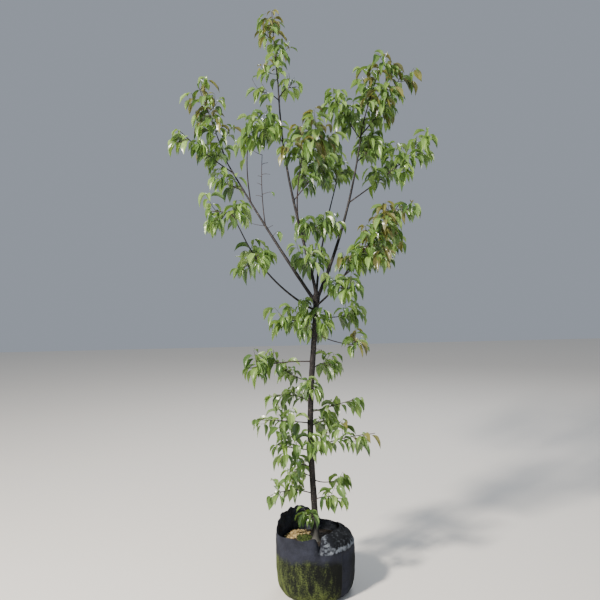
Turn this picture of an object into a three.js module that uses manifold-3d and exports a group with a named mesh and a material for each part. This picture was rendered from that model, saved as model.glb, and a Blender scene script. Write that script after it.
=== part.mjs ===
// A young Japanese apricot tree in a filled fabric nursery bag.
// Millimetres and degrees, +X to the right, +Y to the back, +Z up.
// The origin is the middle of the bag's flat underside.
// Headings turn from +X towards +Y, and a rise is measured up from level.

import * as THREE from "three";
import { mergeVertices } from "three/addons/utils/BufferGeometryUtils.js";
import Module from "manifold-3d";

const wasm = await Module();
wasm.setup();

// Gaps between touching solids, and the grid that corners are rounded to
const CLEARANCE = 0.3;
const GRID = 0.004;

// Driving dimensions of the bag. Each point of its wall is how far inside BAG_RADIUS it lies
// and its height, from the edge of the flat underside to the rim.
const BAG_RADIUS = 137;
const BAG_RIM = 214;
const BAG_WALL = 4;
const BAG_SIDES = 24;
const WALL_UPRIGHT = 90;
const WALL_FOLDS = 140;
const WALL = [
  [33, 0], [17, 9], [5, 36], [0, WALL_UPRIGHT], [0, WALL_FOLDS], [1, 178], [1.4, 196],
  [2, BAG_RIM],
];

// How the rim differs round the bag: a hood that stands up at the back left, a side that has
// folded in over the soil at the right, a higher stretch at the front left and a lower one at
// the back. The power says how sharply a stretch ends.
const RIM_SHAPES = [
  { heading: 132, width: 42, power: 4, height: 50, lean: 16 },
  { heading: -22, width: 66, power: 6, height: 12, lean: 52 },
  { heading: -114, width: 26, power: 2, height: 12, lean: -2 },
  { heading: 66, width: 24, power: 2, height: -14, lean: 8 },
];
const BAG_TOP = BAG_RIM + RIM_SHAPES[0].height;

// The soil, level round the trunk and a little lower at the wall
const SOIL_LEVEL = 172;
const SOIL_EDGE_DROP = 7;
const SOIL_EDGE_INSET = 4;
const SOIL_FLAT_RADIUS = 22.5;

// Driving dimensions of the trunk, from the soil to its fork
const TRUNK_TOP = 1032;
const TRUNK_FOOT_RADIUS = 11.5;
const TRUNK_TOP_RADIUS = 9;
const FLARE_RADIUS = 5;
const FLARE_HEIGHT = 30;
const TRUNK_FOOT_X = 3;
const TRUNK_LEAN = 20;
const TRUNK_BOW = 20;
const TRUNK_SWAY = 5;
const TRUNK_RINGS = 16;
const TRUNK_RING_CROWDING = 1.35;
const TRUNK_SIDES = 10;

// Boughs, stems and twigs
const BOUGH_SIDES = 6;
const BOUGH_STEP = 65;
const BOUGH_FEWEST_STEPS = 5;
const BARK_FROM_RADIUS = 3;
const STEM_SIDES = 4;
const STEM_STEP = 120;
const STEM_ROOT_RADIUS = 1.7;
const STEM_ROOT_GROWTH = 1 / 400;
const STEM_TIP_RADIUS = 1.2;
const TWIG_SIDES = 3;
const TWIG_RADIUS = [1.0, 0.7];
const TWIG_BARE = 0.3;
const TWIG_FEWEST_LEAVES = 2;
const GOLDEN_ANGLE = 137.5;

// A leaf: where it is widest and how far it arches, in lengths, and how far it folds, in widths
const LEAF_LENGTH = 74;
const LEAF_WIDTH = 34;
const LEAF_THICKNESS = 1.2;
const LEAF_WIDEST = 0.42;
const LEAF_ARCH = 0.09;
const LEAF_FOLD = 0.14;
const LEAF_SPACING = 21;
const LAST_LEAF = 0.92;

// Leaves and twigs keep this far above the bag and the soil, or inside the rim
const ABOVE_BAG = 8;
const ABOVE_SOIL = 6;
const INSIDE_RIM = 76;

// Each bough: what it springs from and how far along that is (a height on the trunk, a share
// of a bough's length), its heading and rise at the root and at the tip, its length, and its
// radius at both ends.
const BOUGHS = [
  { name: "bough_leader", on: "trunk", at: TRUNK_TOP, heading: [125, 234], rise: [71, 88],
    length: 720, radius: [5.6, 2.4] },
  { name: "bough_left", on: "trunk", at: 1001, heading: [156, 154], rise: [54, 58],
    length: 586, radius: [6.4, 2.3] },
  { name: "bough_right", on: "trunk", at: 1008, heading: [37, 51], rise: [59, 76],
    length: 635, radius: [6.4, 2.3] },
  { name: "bough_back", on: "trunk", at: 1018, heading: [84, 58], rise: [50, 60],
    length: 478, radius: [4.2, 1.8] },
  { name: "bough_low_left", on: "trunk", at: 974, heading: [-150, -122], rise: [28, 54],
    length: 429, radius: [3.8, 1.8] },
  { name: "bough_low_right", on: "trunk", at: 991, heading: [-33, -52], rise: [35, 47],
    length: 179, radius: [3.6, 2.4] },
  { name: "bough_left_upright", on: "bough_left", at: 0.55, heading: [-115, -69], rise: [76, 75],
    length: 244, radius: [2.0, 0.9] },
  { name: "bough_centre_front", on: "bough_leader", at: 0.3, heading: [-104, -70], rise: [39, 61],
    length: 289, radius: [3.0, 1.7] },
];

// Each mass of foliage: what carries it and where, the heading and rise of its stem at the
// root and at the tip, the stem's length, the bare share of it, how many side twigs it has and
// how long the longest is. A place of 1 on a bough is its tip.
const MASSES = [
  { name: "foliage_left_crown", on: "bough_left", at: 1, heading: [-151, -156], rise: [69, 70],
    length: 286, bare: 0.05, twigs: 7, reach: 116 },
  { name: "foliage_left_outer", on: "bough_left", at: 0.93, heading: [-151, -164], rise: [30, 44],
    length: 235, bare: 0.2, twigs: 3, reach: 66 },
  { name: "foliage_left_inner", on: "bough_left", at: 0.72, heading: [-106, -60],
    rise: [69, 50], length: 300, bare: 0.55, twigs: 3, reach: 76 },
  { name: "foliage_left_under", on: "bough_left", at: 0.8, heading: [170, 185], rise: [20, 35],
    length: 110, bare: 0.2, twigs: 2, reach: 60 },
  { name: "foliage_low_left_tip", on: "bough_low_left", at: 1, heading: [-120, -197],
    rise: [79, -13], length: 116, bare: 0.1, twigs: 4, reach: 74 },
  { name: "foliage_low_left_middle", on: "bough_low_left", at: 0.62, heading: [-130, -50],
    rise: [40, 12], length: 121, bare: 0.25, twigs: 3, reach: 66 },
  { name: "foliage_low_left_under", on: "bough_low_left", at: 0.66, heading: [150, 160],
    rise: [0, -20], length: 86, bare: 0.3, twigs: 1, reach: 56 },
  { name: "foliage_top", on: "bough_leader", at: 1, heading: [205, 230], rise: [84, 87],
    length: 232, bare: 0.02, twigs: 4, reach: 84 },
  { name: "foliage_upper_left", on: "bough_leader", at: 0.92, heading: [-118, -150],
    rise: [23, -1], length: 100, bare: 0.25, twigs: 2, reach: 56 },
  { name: "foliage_upper_right", on: "bough_leader", at: 0.93, heading: [58, 40], rise: [55, 0],
    length: 105, bare: 0.2, twigs: 2, reach: 60 },
  { name: "foliage_centre_left", on: "bough_leader", at: 0.72, heading: [-128, -150],
    rise: [60, 0], length: 112, bare: 0.15, twigs: 4, reach: 80 },
  { name: "foliage_centre_front", on: "bough_centre_front", at: 1, heading: [-57, 15],
    rise: [70, 42], length: 108, bare: 0.0, twigs: 6, reach: 98 },
  { name: "foliage_centre_right", on: "bough_leader", at: 0.45, heading: [40, 20],
    rise: [40, 62], length: 190, bare: 0.3, twigs: 5, reach: 84 },
  { name: "foliage_inner_front", on: "bough_leader", at: 0.27, heading: [-60, -30],
    rise: [30, 20], length: 118, bare: 0.35, twigs: 2, reach: 60 },
  { name: "foliage_inner_low", on: "bough_leader", at: 0.13, heading: [-115, -63],
    rise: [29, 12], length: 140, bare: 0.3, twigs: 2, reach: 62 },
  { name: "foliage_inner_back", on: "bough_leader", at: 0.08, heading: [80, 104], rise: [30, 14],
    length: 130, bare: 0.35, twigs: 2, reach: 66 },
  { name: "foliage_right_crown", on: "bough_right", at: 1, heading: [-10, -30], rise: [76, 65],
    length: 258, bare: 0.0, twigs: 8, reach: 112 },
  { name: "foliage_right_inner", on: "bough_right", at: 0.95, heading: [-150, -120],
    rise: [50, 38], length: 190, bare: 0.2, twigs: 4, reach: 80 },
  { name: "foliage_right_tip", on: "bough_right", at: 0.97, heading: [25, 14], rise: [45, 62],
    length: 290, bare: 0.25, twigs: 3, reach: 72 },
  { name: "foliage_right_back", on: "bough_right", at: 0.82, heading: [48, 70], rise: [25, 42],
    length: 165, bare: 0.2, twigs: 5, reach: 84 },
  { name: "foliage_right_side", on: "bough_right", at: 0.58, heading: [-13, -28],
    rise: [33, 38], length: 350, bare: 0.28, twigs: 6, reach: 88 },
  { name: "foliage_back_crown", on: "bough_back", at: 1, heading: [74, 150], rise: [70, 50],
    length: 150, bare: 0.0, twigs: 4, reach: 84 },
  { name: "foliage_back_middle", on: "bough_back", at: 0.55, heading: [110, 130],
    rise: [25, 15], length: 150, bare: 0.25, twigs: 2, reach: 70 },
  { name: "foliage_low_right_front", on: "bough_low_right", at: 1, heading: [-36, -10],
    rise: [46, 53], length: 282, bare: 0.05, twigs: 8, reach: 94 },
  { name: "foliage_low_right_back", on: "bough_low_right", at: 0.9, heading: [38, 27],
    rise: [30, 26], length: 240, bare: 0.2, twigs: 5, reach: 84 },
  { name: "foliage_low_right_under", on: "bough_low_right", at: 0.55, heading: [-70, -60],
    rise: [10, -5], length: 110, bare: 0.3, twigs: 2, reach: 58 },
  { name: "foliage_right_low_bough", on: "bough_right", at: 0.38, heading: [-114, -110],
    rise: [35, 8], length: 118, bare: 0.25, twigs: 2, reach: 62 },
  { name: "foliage_trunk_01", on: "trunk", at: 985, heading: [-98, -96], rise: [-2, -14],
    length: 112, bare: 0.1, twigs: 3, reach: 72 },
  { name: "foliage_trunk_02", on: "trunk", at: 926, heading: [-148, -171], rise: [24, -7],
    length: 147, bare: 0.1, twigs: 2, reach: 72 },
  { name: "foliage_trunk_03", on: "trunk", at: 947, heading: [35, 20], rise: [0, 2],
    length: 180, bare: 0.45, twigs: 2, reach: 66 },
  { name: "foliage_trunk_04", on: "trunk", at: 899, heading: [-22, -26], rise: [-26, 4],
    length: 180, bare: 0.65, twigs: 1, reach: 56 },
  { name: "foliage_trunk_05", on: "trunk", at: 890, heading: [98, 84], rise: [15, -4],
    length: 150, bare: 0.2, twigs: 2, reach: 66 },
  { name: "foliage_trunk_06", on: "trunk", at: 803, heading: [-155, -165], rise: [7, -10],
    length: 225, bare: 0.38, twigs: 2, reach: 70 },
  { name: "foliage_trunk_07", on: "trunk", at: 735, heading: [146, 140], rise: [0, 30],
    length: 124, bare: 0.45, twigs: 1, reach: 54 },
  { name: "foliage_trunk_08", on: "trunk", at: 776, heading: [64, 41], rise: [18, -25],
    length: 131, bare: 0.25, twigs: 2, reach: 56 },
  { name: "foliage_trunk_09", on: "trunk", at: 728, heading: [-89, -85], rise: [6, -10],
    length: 98, bare: 0.15, twigs: 1, reach: 58 },
  { name: "foliage_trunk_10", on: "trunk", at: 662, heading: [129, 164], rise: [17, -14],
    length: 169, bare: 0.25, twigs: 1, reach: 68 },
  { name: "foliage_trunk_11", on: "trunk", at: 627, heading: [-14, -20], rise: [17, 19],
    length: 180, bare: 0.2, twigs: 2, reach: 60 },
  { name: "foliage_trunk_12", on: "trunk", at: 589, heading: [-144, -167], rise: [14, 6],
    length: 198, bare: 0.15, twigs: 1, reach: 68 },
  { name: "foliage_trunk_13", on: "trunk", at: 572, heading: [72, 41], rise: [9, -14],
    length: 147, bare: 0.25, twigs: 1, reach: 62 },
  { name: "foliage_trunk_14", on: "trunk", at: 495, heading: [-125, -153], rise: [14, 20],
    length: 161, bare: 0.3, twigs: 1, reach: 64 },
  { name: "foliage_trunk_15", on: "trunk", at: 498, heading: [-14, -22], rise: [24, 9],
    length: 236, bare: 0.15, twigs: 1, reach: 64 },
  { name: "foliage_trunk_16", on: "trunk", at: 520, heading: [-82, -70], rise: [10, -18],
    length: 84, bare: 0.15, twigs: 1, reach: 54 },
  { name: "foliage_trunk_17", on: "trunk", at: 432, heading: [-132, -140], rise: [30, 20],
    length: 52, bare: 0.2, twigs: 1, reach: 50 },
  { name: "foliage_trunk_18", on: "trunk", at: 398, heading: [126, 147], rise: [8, -9],
    length: 110, bare: 0.4, twigs: 1, reach: 56 },
  { name: "foliage_trunk_19", on: "trunk", at: 389, heading: [35, 31], rise: [-30, 16],
    length: 137, bare: 0.4, twigs: 1, reach: 56 },
  { name: "foliage_trunk_20", on: "trunk", at: 340, heading: [-164, -158], rise: [25, -15],
    length: 158, bare: 0.2, twigs: 2, reach: 66 },
  { name: "foliage_trunk_21", on: "trunk", at: 319, heading: [-47, -29], rise: [30, -6],
    length: 119, bare: 0.3, twigs: 1, reach: 54 },
  { name: "foliage_trunk_22", on: "trunk", at: 258, heading: [-118, -100], rise: [30, 0],
    length: 62, bare: 0.2, twigs: 1, reach: 46 },
];

// Small helpers for angles, chance and places along a line
const radians = THREE.MathUtils.degToRad;
const mix = THREE.MathUtils.lerp;
const taper = (radius) => (share) => mix(radius[0], radius[1], share);
const UP = new THREE.Vector3(0, 0, 1);
const BACK = new THREE.Vector3(0, 1, 0);

// Numbers from 0 to 1 that come out the same for the same seed
function seeded(seed) {
  let state = seed >>> 0;
  return () => {
    state = (state + 0x6d2b79f5) >>> 0;
    let value = Math.imul(state ^ (state >>> 15), state | 1);
    value ^= value + Math.imul(value ^ (value >>> 7), value | 61);
    return ((value ^ (value >>> 14)) >>> 0) / 2 ** 32;
  };
}

function direction(heading, rise) {
  const level = Math.cos(radians(rise));
  const turn = radians(heading);
  return new THREE.Vector3(Math.cos(turn) * level, Math.sin(turn) * level, Math.sin(radians(rise)));
}

// A line's points, with the frame that is carried along it without twist
function framed(points) {
  const last = points.length - 1;
  const line = [];
  let side = null;
  points.forEach((point, i) => {
    const before = points[Math.max(i - 1, 0)];
    const after = points[Math.min(i + 1, last)];
    const along = after.clone().sub(before).normalize();
    if (side === null) {
      const reference = Math.abs(along.z) > 0.9 ? BACK : UP;
      side = new THREE.Vector3().crossVectors(along, reference);
    }
    side = side.clone().addScaledVector(along, -side.dot(along)).normalize();
    const across = new THREE.Vector3().crossVectors(side, along);
    line.push({ point, along, side, across });
  });
  return line;
}

function grownLine(root, heading, rise, length, steps) {
  const points = [root.clone()];
  for (let i = 0; i < steps; i += 1) {
    const share = (i + 0.5) / steps;
    const step = direction(mix(heading[0], heading[1], share), mix(rise[0], rise[1], share));
    points.push(points[i].clone().addScaledVector(step, length / steps));
  }
  return framed(points);
}

function placeOn(line, share) {
  const where = share * (line.length - 1);
  const i = Math.min(Math.floor(where), line.length - 2);
  const t = where - i;
  const blend = (key) => line[i][key].clone().lerp(line[i + 1][key], t);
  return {
    point: blend("point"),
    along: blend("along").normalize(),
    side: blend("side").normalize(),
    across: blend("across").normalize(),
  };
}

// A closed tube round a line: a cylinder whose rings are moved onto the line
function tube(line, radiusAt, sides) {
  const steps = line.length - 1;
  const geometry = new THREE.CylinderGeometry(1, 1, 1, sides, steps);
  const place = geometry.attributes.position;
  for (let i = 0; i < place.count; i += 1) {
    const ring = Math.round((place.getY(i) + 0.5) * steps);
    const { point, side, across } = line[ring];
    const radius = radiusAt(ring / steps);
    const moved = point.clone();
    moved.addScaledVector(side, place.getX(i) * radius);
    moved.addScaledVector(across, place.getZ(i) * radius);
    place.setXYZ(i, moved.x, moved.y, moved.z);
  }
  return geometry;
}

// Joining and cutting of closed meshes
function solidOf(geometry) {
  const bare = geometry.clone();
  bare.deleteAttribute("normal");
  bare.deleteAttribute("uv");
  const merged = mergeVertices(bare, 1e-4);
  const mesh = new wasm.Mesh({
    numProp: 3,
    vertProperties: merged.attributes.position.array,
    triVerts: new Uint32Array(merged.index.array),
  });
  return new wasm.Manifold(mesh);
}

function largestPiece(solid) {
  const pieces = solid.decompose();
  pieces.sort((a, b) => b.volume() - a.volume());
  return pieces[0];
}

// A solid's surface with its corners on the grid and the faces that collapse there dropped
function geometryOf(solid) {
  const mesh = solid.getMesh();
  const snapped = mesh.vertProperties.map((value) => Math.round(value / GRID) * GRID);
  const loose = new THREE.BufferGeometry();
  loose.setAttribute("position", new THREE.BufferAttribute(snapped, 3));
  loose.setIndex(new THREE.BufferAttribute(mesh.triVerts, 1));
  const geometry = mergeVertices(loose, GRID / 4);
  const kept = [];
  const index = geometry.index.array;
  for (let i = 0; i < index.length; i += 3) {
    const [a, b, c] = index.subarray(i, i + 3);
    if (a !== b && b !== c && c !== a) kept.push(a, b, c);
  }
  geometry.setIndex(kept);
  return geometry;
}

// True where each edge of the surface joins two faces and no face is a mere line
function isClosed(geometry) {
  const place = geometry.attributes.position;
  const index = geometry.index.array;
  const uses = new Map();
  const corners = [new THREE.Vector3(), new THREE.Vector3(), new THREE.Vector3()];
  for (let i = 0; i < index.length; i += 3) {
    corners.forEach((corner, k) => corner.fromBufferAttribute(place, index[i + k]));
    const [a, b, c] = corners;
    const longest = Math.max(a.distanceTo(b), b.distanceTo(c), c.distanceTo(a));
    const area = b.clone().sub(a).cross(c.clone().sub(a)).length();
    if (area < longest * GRID * 0.1) return false;
    for (let k = 0; k < 3; k += 1) {
      const [from, to] = [index[i + k], index[i + ((k + 1) % 3)]];
      const key = `${from} ${to}`;
      if (uses.has(key)) return false;
      uses.set(key, `${to} ${from}`);
    }
  }
  return [...uses.values()].every((key) => uses.has(key));
}

// The joined solid, or the first one alone where the seam would be too fine to stay closed
function fused(solid, piece) {
  const joined = solid.add(piece);
  return joined.decompose().length === 1 && isClosed(geometryOf(joined)) ? joined : solid;
}

// Convex outlines that tell whether two pieces keep clear of each other
function outline(corners, faces, edges) {
  const box = new THREE.Box3().setFromPoints(corners);
  box.expandByScalar(CLEARANCE);
  const ways = edges.map(([a, b]) => corners[b].clone().sub(corners[a]));
  const normals = faces.map(([a, b, c]) => {
    const first = corners[b].clone().sub(corners[a]);
    const second = corners[c].clone().sub(corners[a]);
    return first.cross(second);
  });
  return { corners, box, ways, normals };
}

function reachAlong(axis, corners) {
  const reaches = corners.map((corner) => corner.dot(axis));
  return [Math.min(...reaches), Math.max(...reaches)];
}

function separates(axis, a, b) {
  const size = axis.length();
  if (size < 1e-6) return false;
  const [lowA, highA] = reachAlong(axis, a.corners);
  const [lowB, highB] = reachAlong(axis, b.corners);
  return Math.max(lowA - highB, lowB - highA) > CLEARANCE * size;
}

function apart(a, b) {
  if (!a.box.intersectsBox(b.box)) return true;
  if (a.normals.some((axis) => separates(axis, a, b))) return true;
  if (b.normals.some((axis) => separates(axis, a, b))) return true;
  const axis = new THREE.Vector3();
  return a.ways.some((u) => b.ways.some((v) => separates(axis.crossVectors(u, v), a, b)));
}

// The outlines of a tube, one for each stretch between two rings
function stretches(line, radiusAt, sides) {
  const list = [];
  const steps = line.length - 1;
  const grow = 1 / Math.cos(Math.PI / sides);
  for (let i = 0; i < steps; i += 1) {
    const corners = [];
    for (const ring of [i, i + 1]) {
      const { point, side, across } = line[ring];
      const radius = radiusAt(ring / steps) * grow;
      for (let k = 0; k < sides; k += 1) {
        const angle = (2 * Math.PI * k) / sides;
        const corner = point.clone().addScaledVector(side, Math.cos(angle) * radius);
        corners.push(corner.addScaledVector(across, Math.sin(angle) * radius));
      }
    }
    const faces = [];
    const edges = [];
    for (let k = 0; k < sides; k += 1) {
      const next = (k + 1) % sides;
      faces.push([k, next, sides + k]);
      edges.push([k, sides + k], [k, next]);
    }
    list.push(outline(corners, faces, edges));
  }
  return list;
}

// The bag: one closed wall and floor whose rim rises, sinks and folds in
function wallOutline(inset) {
  return WALL.map(([inside, height]) => {
    const lift = inset * Math.max(0, 1 - height / WALL_UPRIGHT);
    return new THREE.Vector2(BAG_RADIUS - inside - inset, height + lift);
  });
}

// How much the rim's height or its lean inwards changes at an angle round the bag
function rimChange(angle, key) {
  return RIM_SHAPES.reduce((sum, shape) => {
    const turn = angle - radians(shape.heading);
    const away = Math.atan2(Math.sin(turn), Math.cos(turn)) / radians(shape.width);
    return sum + shape[key] * Math.exp(-(Math.abs(away) ** shape.power));
  }, 0);
}

function bag() {
  const underside = new THREE.Vector2(0, 0);
  const floor = new THREE.Vector2(0, BAG_WALL);
  const profile = [underside, ...wallOutline(0), ...wallOutline(BAG_WALL).reverse(), floor];
  const geometry = new THREE.LatheGeometry(profile, BAG_SIDES).rotateX(Math.PI / 2);
  const place = geometry.attributes.position;
  for (let i = 0; i < place.count; i += 1) {
    const [x, y, z] = [place.getX(i), place.getY(i), place.getZ(i)];
    if (z <= WALL_FOLDS + 1) continue;
    const angle = Math.atan2(y, x);
    const share = (z - WALL_FOLDS) / (BAG_RIM - WALL_FOLDS);
    const ripple = 3 * Math.sin(7 * angle) + 2 * Math.sin(11 * angle + 1);
    const height = z + share * (rimChange(angle, "height") + ripple);
    const shrink = 1 - (share ** 4 * rimChange(angle, "lean")) / Math.hypot(x, y);
    place.setXYZ(i, x * shrink, y * shrink, height);
  }
  return geometry;
}

function soil() {
  const inset = BAG_WALL + CLEARANCE;
  const wall = wallOutline(inset).filter((point) => point.y <= WALL_FOLDS);
  const edge = BAG_RADIUS - inset - SOIL_EDGE_INSET;
  const profile = [
    new THREE.Vector2(0, inset),
    ...wall,
    new THREE.Vector2(edge, SOIL_LEVEL - SOIL_EDGE_DROP),
    new THREE.Vector2(SOIL_FLAT_RADIUS, SOIL_LEVEL),
    new THREE.Vector2(0, SOIL_LEVEL),
  ];
  return new THREE.LatheGeometry(profile, BAG_SIDES).rotateX(Math.PI / 2);
}

// The trunk: a flared foot with a flat cut, a slight bow to the left and a lean to the right
function trunkLine() {
  const points = [];
  for (let i = 0; i <= TRUNK_RINGS; i += 1) {
    const share = (i / TRUNK_RINGS) ** TRUNK_RING_CROWDING;
    const bow = TRUNK_BOW * Math.sin(Math.PI * share) ** 1.5;
    const x = TRUNK_FOOT_X + TRUNK_LEAN * share - bow;
    const y = TRUNK_SWAY * Math.sin(2 * Math.PI * share);
    points.push(new THREE.Vector3(x, y, mix(SOIL_LEVEL + CLEARANCE, TRUNK_TOP, share)));
  }
  const line = framed(points);
  const foot = line[0];
  foot.across = new THREE.Vector3().crossVectors(foot.side.setZ(0).normalize(), UP);
  return line;
}

function trunkRadius(ringShare) {
  const share = ringShare ** TRUNK_RING_CROWDING;
  const height = share * (TRUNK_TOP - SOIL_LEVEL);
  const flare = FLARE_RADIUS * Math.exp(-((height / FLARE_HEIGHT) ** 1.5));
  return mix(TRUNK_FOOT_RADIUS, TRUNK_TOP_RADIUS, share) + flare;
}

// Limbs by name: the line, the radius along it, its outlines and a solid a clearance larger
const limbs = new Map();

function addLimb(name, line, radiusAt, sides) {
  const swollen = tube(line, (share) => radiusAt(share) + CLEARANCE, sides);
  const parts = stretches(line, radiusAt, sides);
  limbs.set(name, { line, radiusAt, parts, swollen: solidOf(swollen) });
}

function trunkPlace(height) {
  const { line } = limbs.get("trunk");
  const i = Math.max(1, line.findIndex((ring) => ring.point.z >= height));
  const low = line[i - 1].point;
  const high = line[i].point;
  return low.clone().lerp(high, (height - low.z) / (high.z - low.z));
}

// Where a limb or a stem starts: inside what carries it, or just off its tip
function rootOf({ on, at, heading, rise }) {
  const tip = direction(heading[0], rise[0]);
  if (on === "trunk" && at === TRUNK_TOP) {
    return trunkPlace(at).addScaledVector(tip, TRUNK_TOP_RADIUS * 0.4);
  }
  if (on === "trunk") return trunkPlace(at);
  const place = placeOn(limbs.get(on).line, at).point;
  return at === 1 ? place.addScaledVector(tip, CLEARANCE) : place;
}

function boughLine(bough) {
  const steps = Math.max(BOUGH_FEWEST_STEPS, Math.round(bough.length / BOUGH_STEP));
  return grownLine(rootOf(bough), bough.heading, bough.rise, bough.length, steps);
}

// A bough is cut a clearance short of the limbs that were made before it
function boughGeometry(line, radiusAt) {
  let solid = solidOf(tube(line, radiusAt, BOUGH_SIDES));
  for (const { swollen } of limbs.values()) solid = solid.subtract(swollen);
  return geometryOf(largestPiece(solid));
}

// A leaf blade: an octahedron drawn out to a base and a tip, arched along its length and
// folded up a little at both sides
function blade(root, towards, facing, length, width) {
  const side = new THREE.Vector3().crossVectors(towards, facing).normalize();
  const face = new THREE.Vector3().crossVectors(side, towards).normalize();
  const tip = root.clone().addScaledVector(towards, length);
  const middle = root.clone().addScaledVector(towards, LEAF_WIDEST * length);
  middle.addScaledVector(face, LEAF_ARCH * length);
  const corner = (x, y, z) => {
    if (y < -0.5) return root;
    if (y > 0.5) return tip;
    const rise = 0.5 * LEAF_THICKNESS * z + LEAF_FOLD * width * Math.abs(x);
    return middle.clone().addScaledVector(side, 0.5 * width * x).addScaledVector(face, rise);
  };
  const geometry = new THREE.OctahedronGeometry(1);
  const place = geometry.attributes.position;
  const corners = [];
  for (let i = 0; i < place.count; i += 1) {
    const moved = corner(place.getX(i), place.getY(i), place.getZ(i));
    corners.push(moved);
    place.setXYZ(i, moved.x, moved.y, moved.z);
  }
  const faces = [];
  const edges = [];
  for (let i = 0; i < place.count; i += 3) {
    faces.push([i, i + 1, i + 2]);
    edges.push([i, i + 1], [i + 1, i + 2], [i + 2, i]);
  }
  return { geometry, shape: outline(corners, faces, edges), tip };
}

// The shoots of a mass, its stem first: each has a line, the share of it that is bare and how
// many leaves it wants to bear
function shootsOf({ line, bare, twigs, reach, length }, chance) {
  const shoots = [{ line, bare, leaves: Math.round((length * (1 - bare)) / LEAF_SPACING) }];
  for (let i = 0; i < twigs; i += 1) {
    const share = bare + (1 - bare) * ((i + 0.4) / twigs);
    const { point, along, side, across } = placeOn(line, share);
    const turn = radians(i * GOLDEN_ANGLE + 50 * chance());
    const out = side.multiplyScalar(Math.cos(turn)).addScaledVector(across, Math.sin(turn));
    const way = out.addScaledVector(along, 0.35 + 0.4 * chance()).normalize();
    const size = reach * (0.5 + 0.5 * chance()) * (1.1 - 0.45 * share);
    shoots.push({
      line: framed([point, point.clone().addScaledVector(way, size)]),
      bare: TWIG_BARE,
      leaves: Math.max(TWIG_FEWEST_LEAVES, Math.round(size / LEAF_SPACING)),
    });
  }
  return shoots;
}

// The leaves of a shoot, turned to either side by turns, drooping, the last one near its tip
function leavesOf({ line, bare, leaves }, chance) {
  const list = [];
  for (let k = 0; k < leaves; k += 1) {
    const last = k === leaves - 1;
    const share = last ? LAST_LEAF : mix(bare, 1, (k + 0.5) / leaves);
    const { point, along, side, across } = placeOn(line, share);
    const turn = radians(180 * k + 70 * (chance() - 0.5));
    const out = side.multiplyScalar(Math.cos(turn)).addScaledVector(across, Math.sin(turn));
    const size = 0.78 + 0.4 * chance();
    const droop = 0.55 + 0.9 * chance();
    const towards = out.clone().multiplyScalar(last ? 0.2 : 0.75).addScaledVector(along, 0.55);
    towards.addScaledVector(UP, -droop).normalize();
    const facing = out.multiplyScalar(0.6).addScaledVector(along, 0.3).addScaledVector(UP, 0.7);
    list.push({ root: point, towards, facing, size });
  }
  return list;
}

function clearOfBag({ x, y, z }) {
  if (z > BAG_TOP + ABOVE_BAG) return true;
  return Math.hypot(x, y) < INSIDE_RIM && z > SOIL_LEVEL + ABOVE_SOIL;
}

// The stem of a mass, which its twigs and leaves grow from
function stemOf(mass) {
  const { on, at, heading, rise, length } = mass;
  const rootRadius = STEM_ROOT_RADIUS + length * STEM_ROOT_GROWTH;
  const radiusAt = taper([at === 1 ? limbs.get(on).radiusAt(1) : rootRadius, STEM_TIP_RADIUS]);
  const line = grownLine(rootOf(mass), heading, rise, length, Math.round(1.5 + length / STEM_STEP));
  return { ...mass, line, radiusAt, parts: stretches(line, radiusAt, STEM_SIDES) };
}

// A mass: its stem with each twig and leaf that keeps clear of everything else fused on
function foliage(stem, chance, taken) {
  const others = taken.filter((entry) => entry.name !== stem.name);
  const fits = (parts) => others.every((entry) =>
    entry.parts.every((other) => parts.every((part) => apart(part, other))));
  const own = [...stem.parts];
  let solid = solidOf(tube(stem.line, stem.radiusAt, STEM_SIDES));
  solid = largestPiece(solid.subtract(limbs.get(stem.on).swollen));
  const grow = (geometry, parts) => {
    const joined = fused(solid, solidOf(geometry));
    if (joined === solid) return false;
    solid = joined;
    own.push(...parts);
    return true;
  };
  shootsOf(stem, chance).forEach((shoot, index) => {
    const leaves = leavesOf(shoot, chance);
    let bearer = stem.parts;
    if (index > 0) {
      bearer = stretches(shoot.line, taper(TWIG_RADIUS), TWIG_SIDES);
      if (!fits(bearer) || !shoot.line.every((ring) => clearOfBag(ring.point))) return;
      if (!grow(tube(shoot.line, taper(TWIG_RADIUS), TWIG_SIDES), bearer)) return;
    }
    for (const { root, towards, facing, size } of leaves) {
      const leaf = blade(root, towards, facing, LEAF_LENGTH * size, LEAF_WIDTH * size);
      if (!clearOfBag(leaf.tip) || !fits([leaf.shape])) continue;
      if (!own.every((other) => bearer.includes(other) || apart(other, leaf.shape))) continue;
      grow(leaf.geometry, [leaf.shape]);
    }
  });
  taken.push({ name: stem.name, parts: own });
  return geometryOf(solid);
}

// Materials
const material = (color, roughness) => new THREE.MeshStandardMaterial({ color, roughness });
const bagFelt = material("#4b4a50", 0.95);
const soilMix = material("#5a4230", 1);
const bark = material("#5b4c45", 0.85);
const youngBark = material("#6b5a48", 0.8);
const greenery = material("#7d9c3a", 0.6);

// The tree
const tree = new THREE.Group();

function add(name, geometry, finish) {
  const mesh = new THREE.Mesh(geometry, finish);
  mesh.name = name;
  tree.add(mesh);
}

add("bag", bag(), bagFelt);
add("soil", soil(), soilMix);

const trunk = trunkLine();
add("trunk", tube(trunk, trunkRadius, TRUNK_SIDES), bark);
addLimb("trunk", trunk, trunkRadius, TRUNK_SIDES);

for (const bough of BOUGHS) {
  const line = boughLine(bough);
  const radiusAt = taper(bough.radius);
  const finish = bough.radius[0] > BARK_FROM_RADIUS ? bark : youngBark;
  add(bough.name, boughGeometry(line, radiusAt), finish);
  addLimb(bough.name, line, radiusAt, BOUGH_SIDES);
}

// Every stem is known before the first leaf is grown, so that all leaves keep clear of it
const stems = MASSES.map(stemOf);
const taken = [];
for (const [name, { parts }] of limbs) taken.push({ name, parts });
for (const { name, parts } of stems) taken.push({ name, parts });
stems.forEach((stem, index) => add(stem.name, foliage(stem, seeded(index + 1), taken), greenery));

export default tree;
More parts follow.
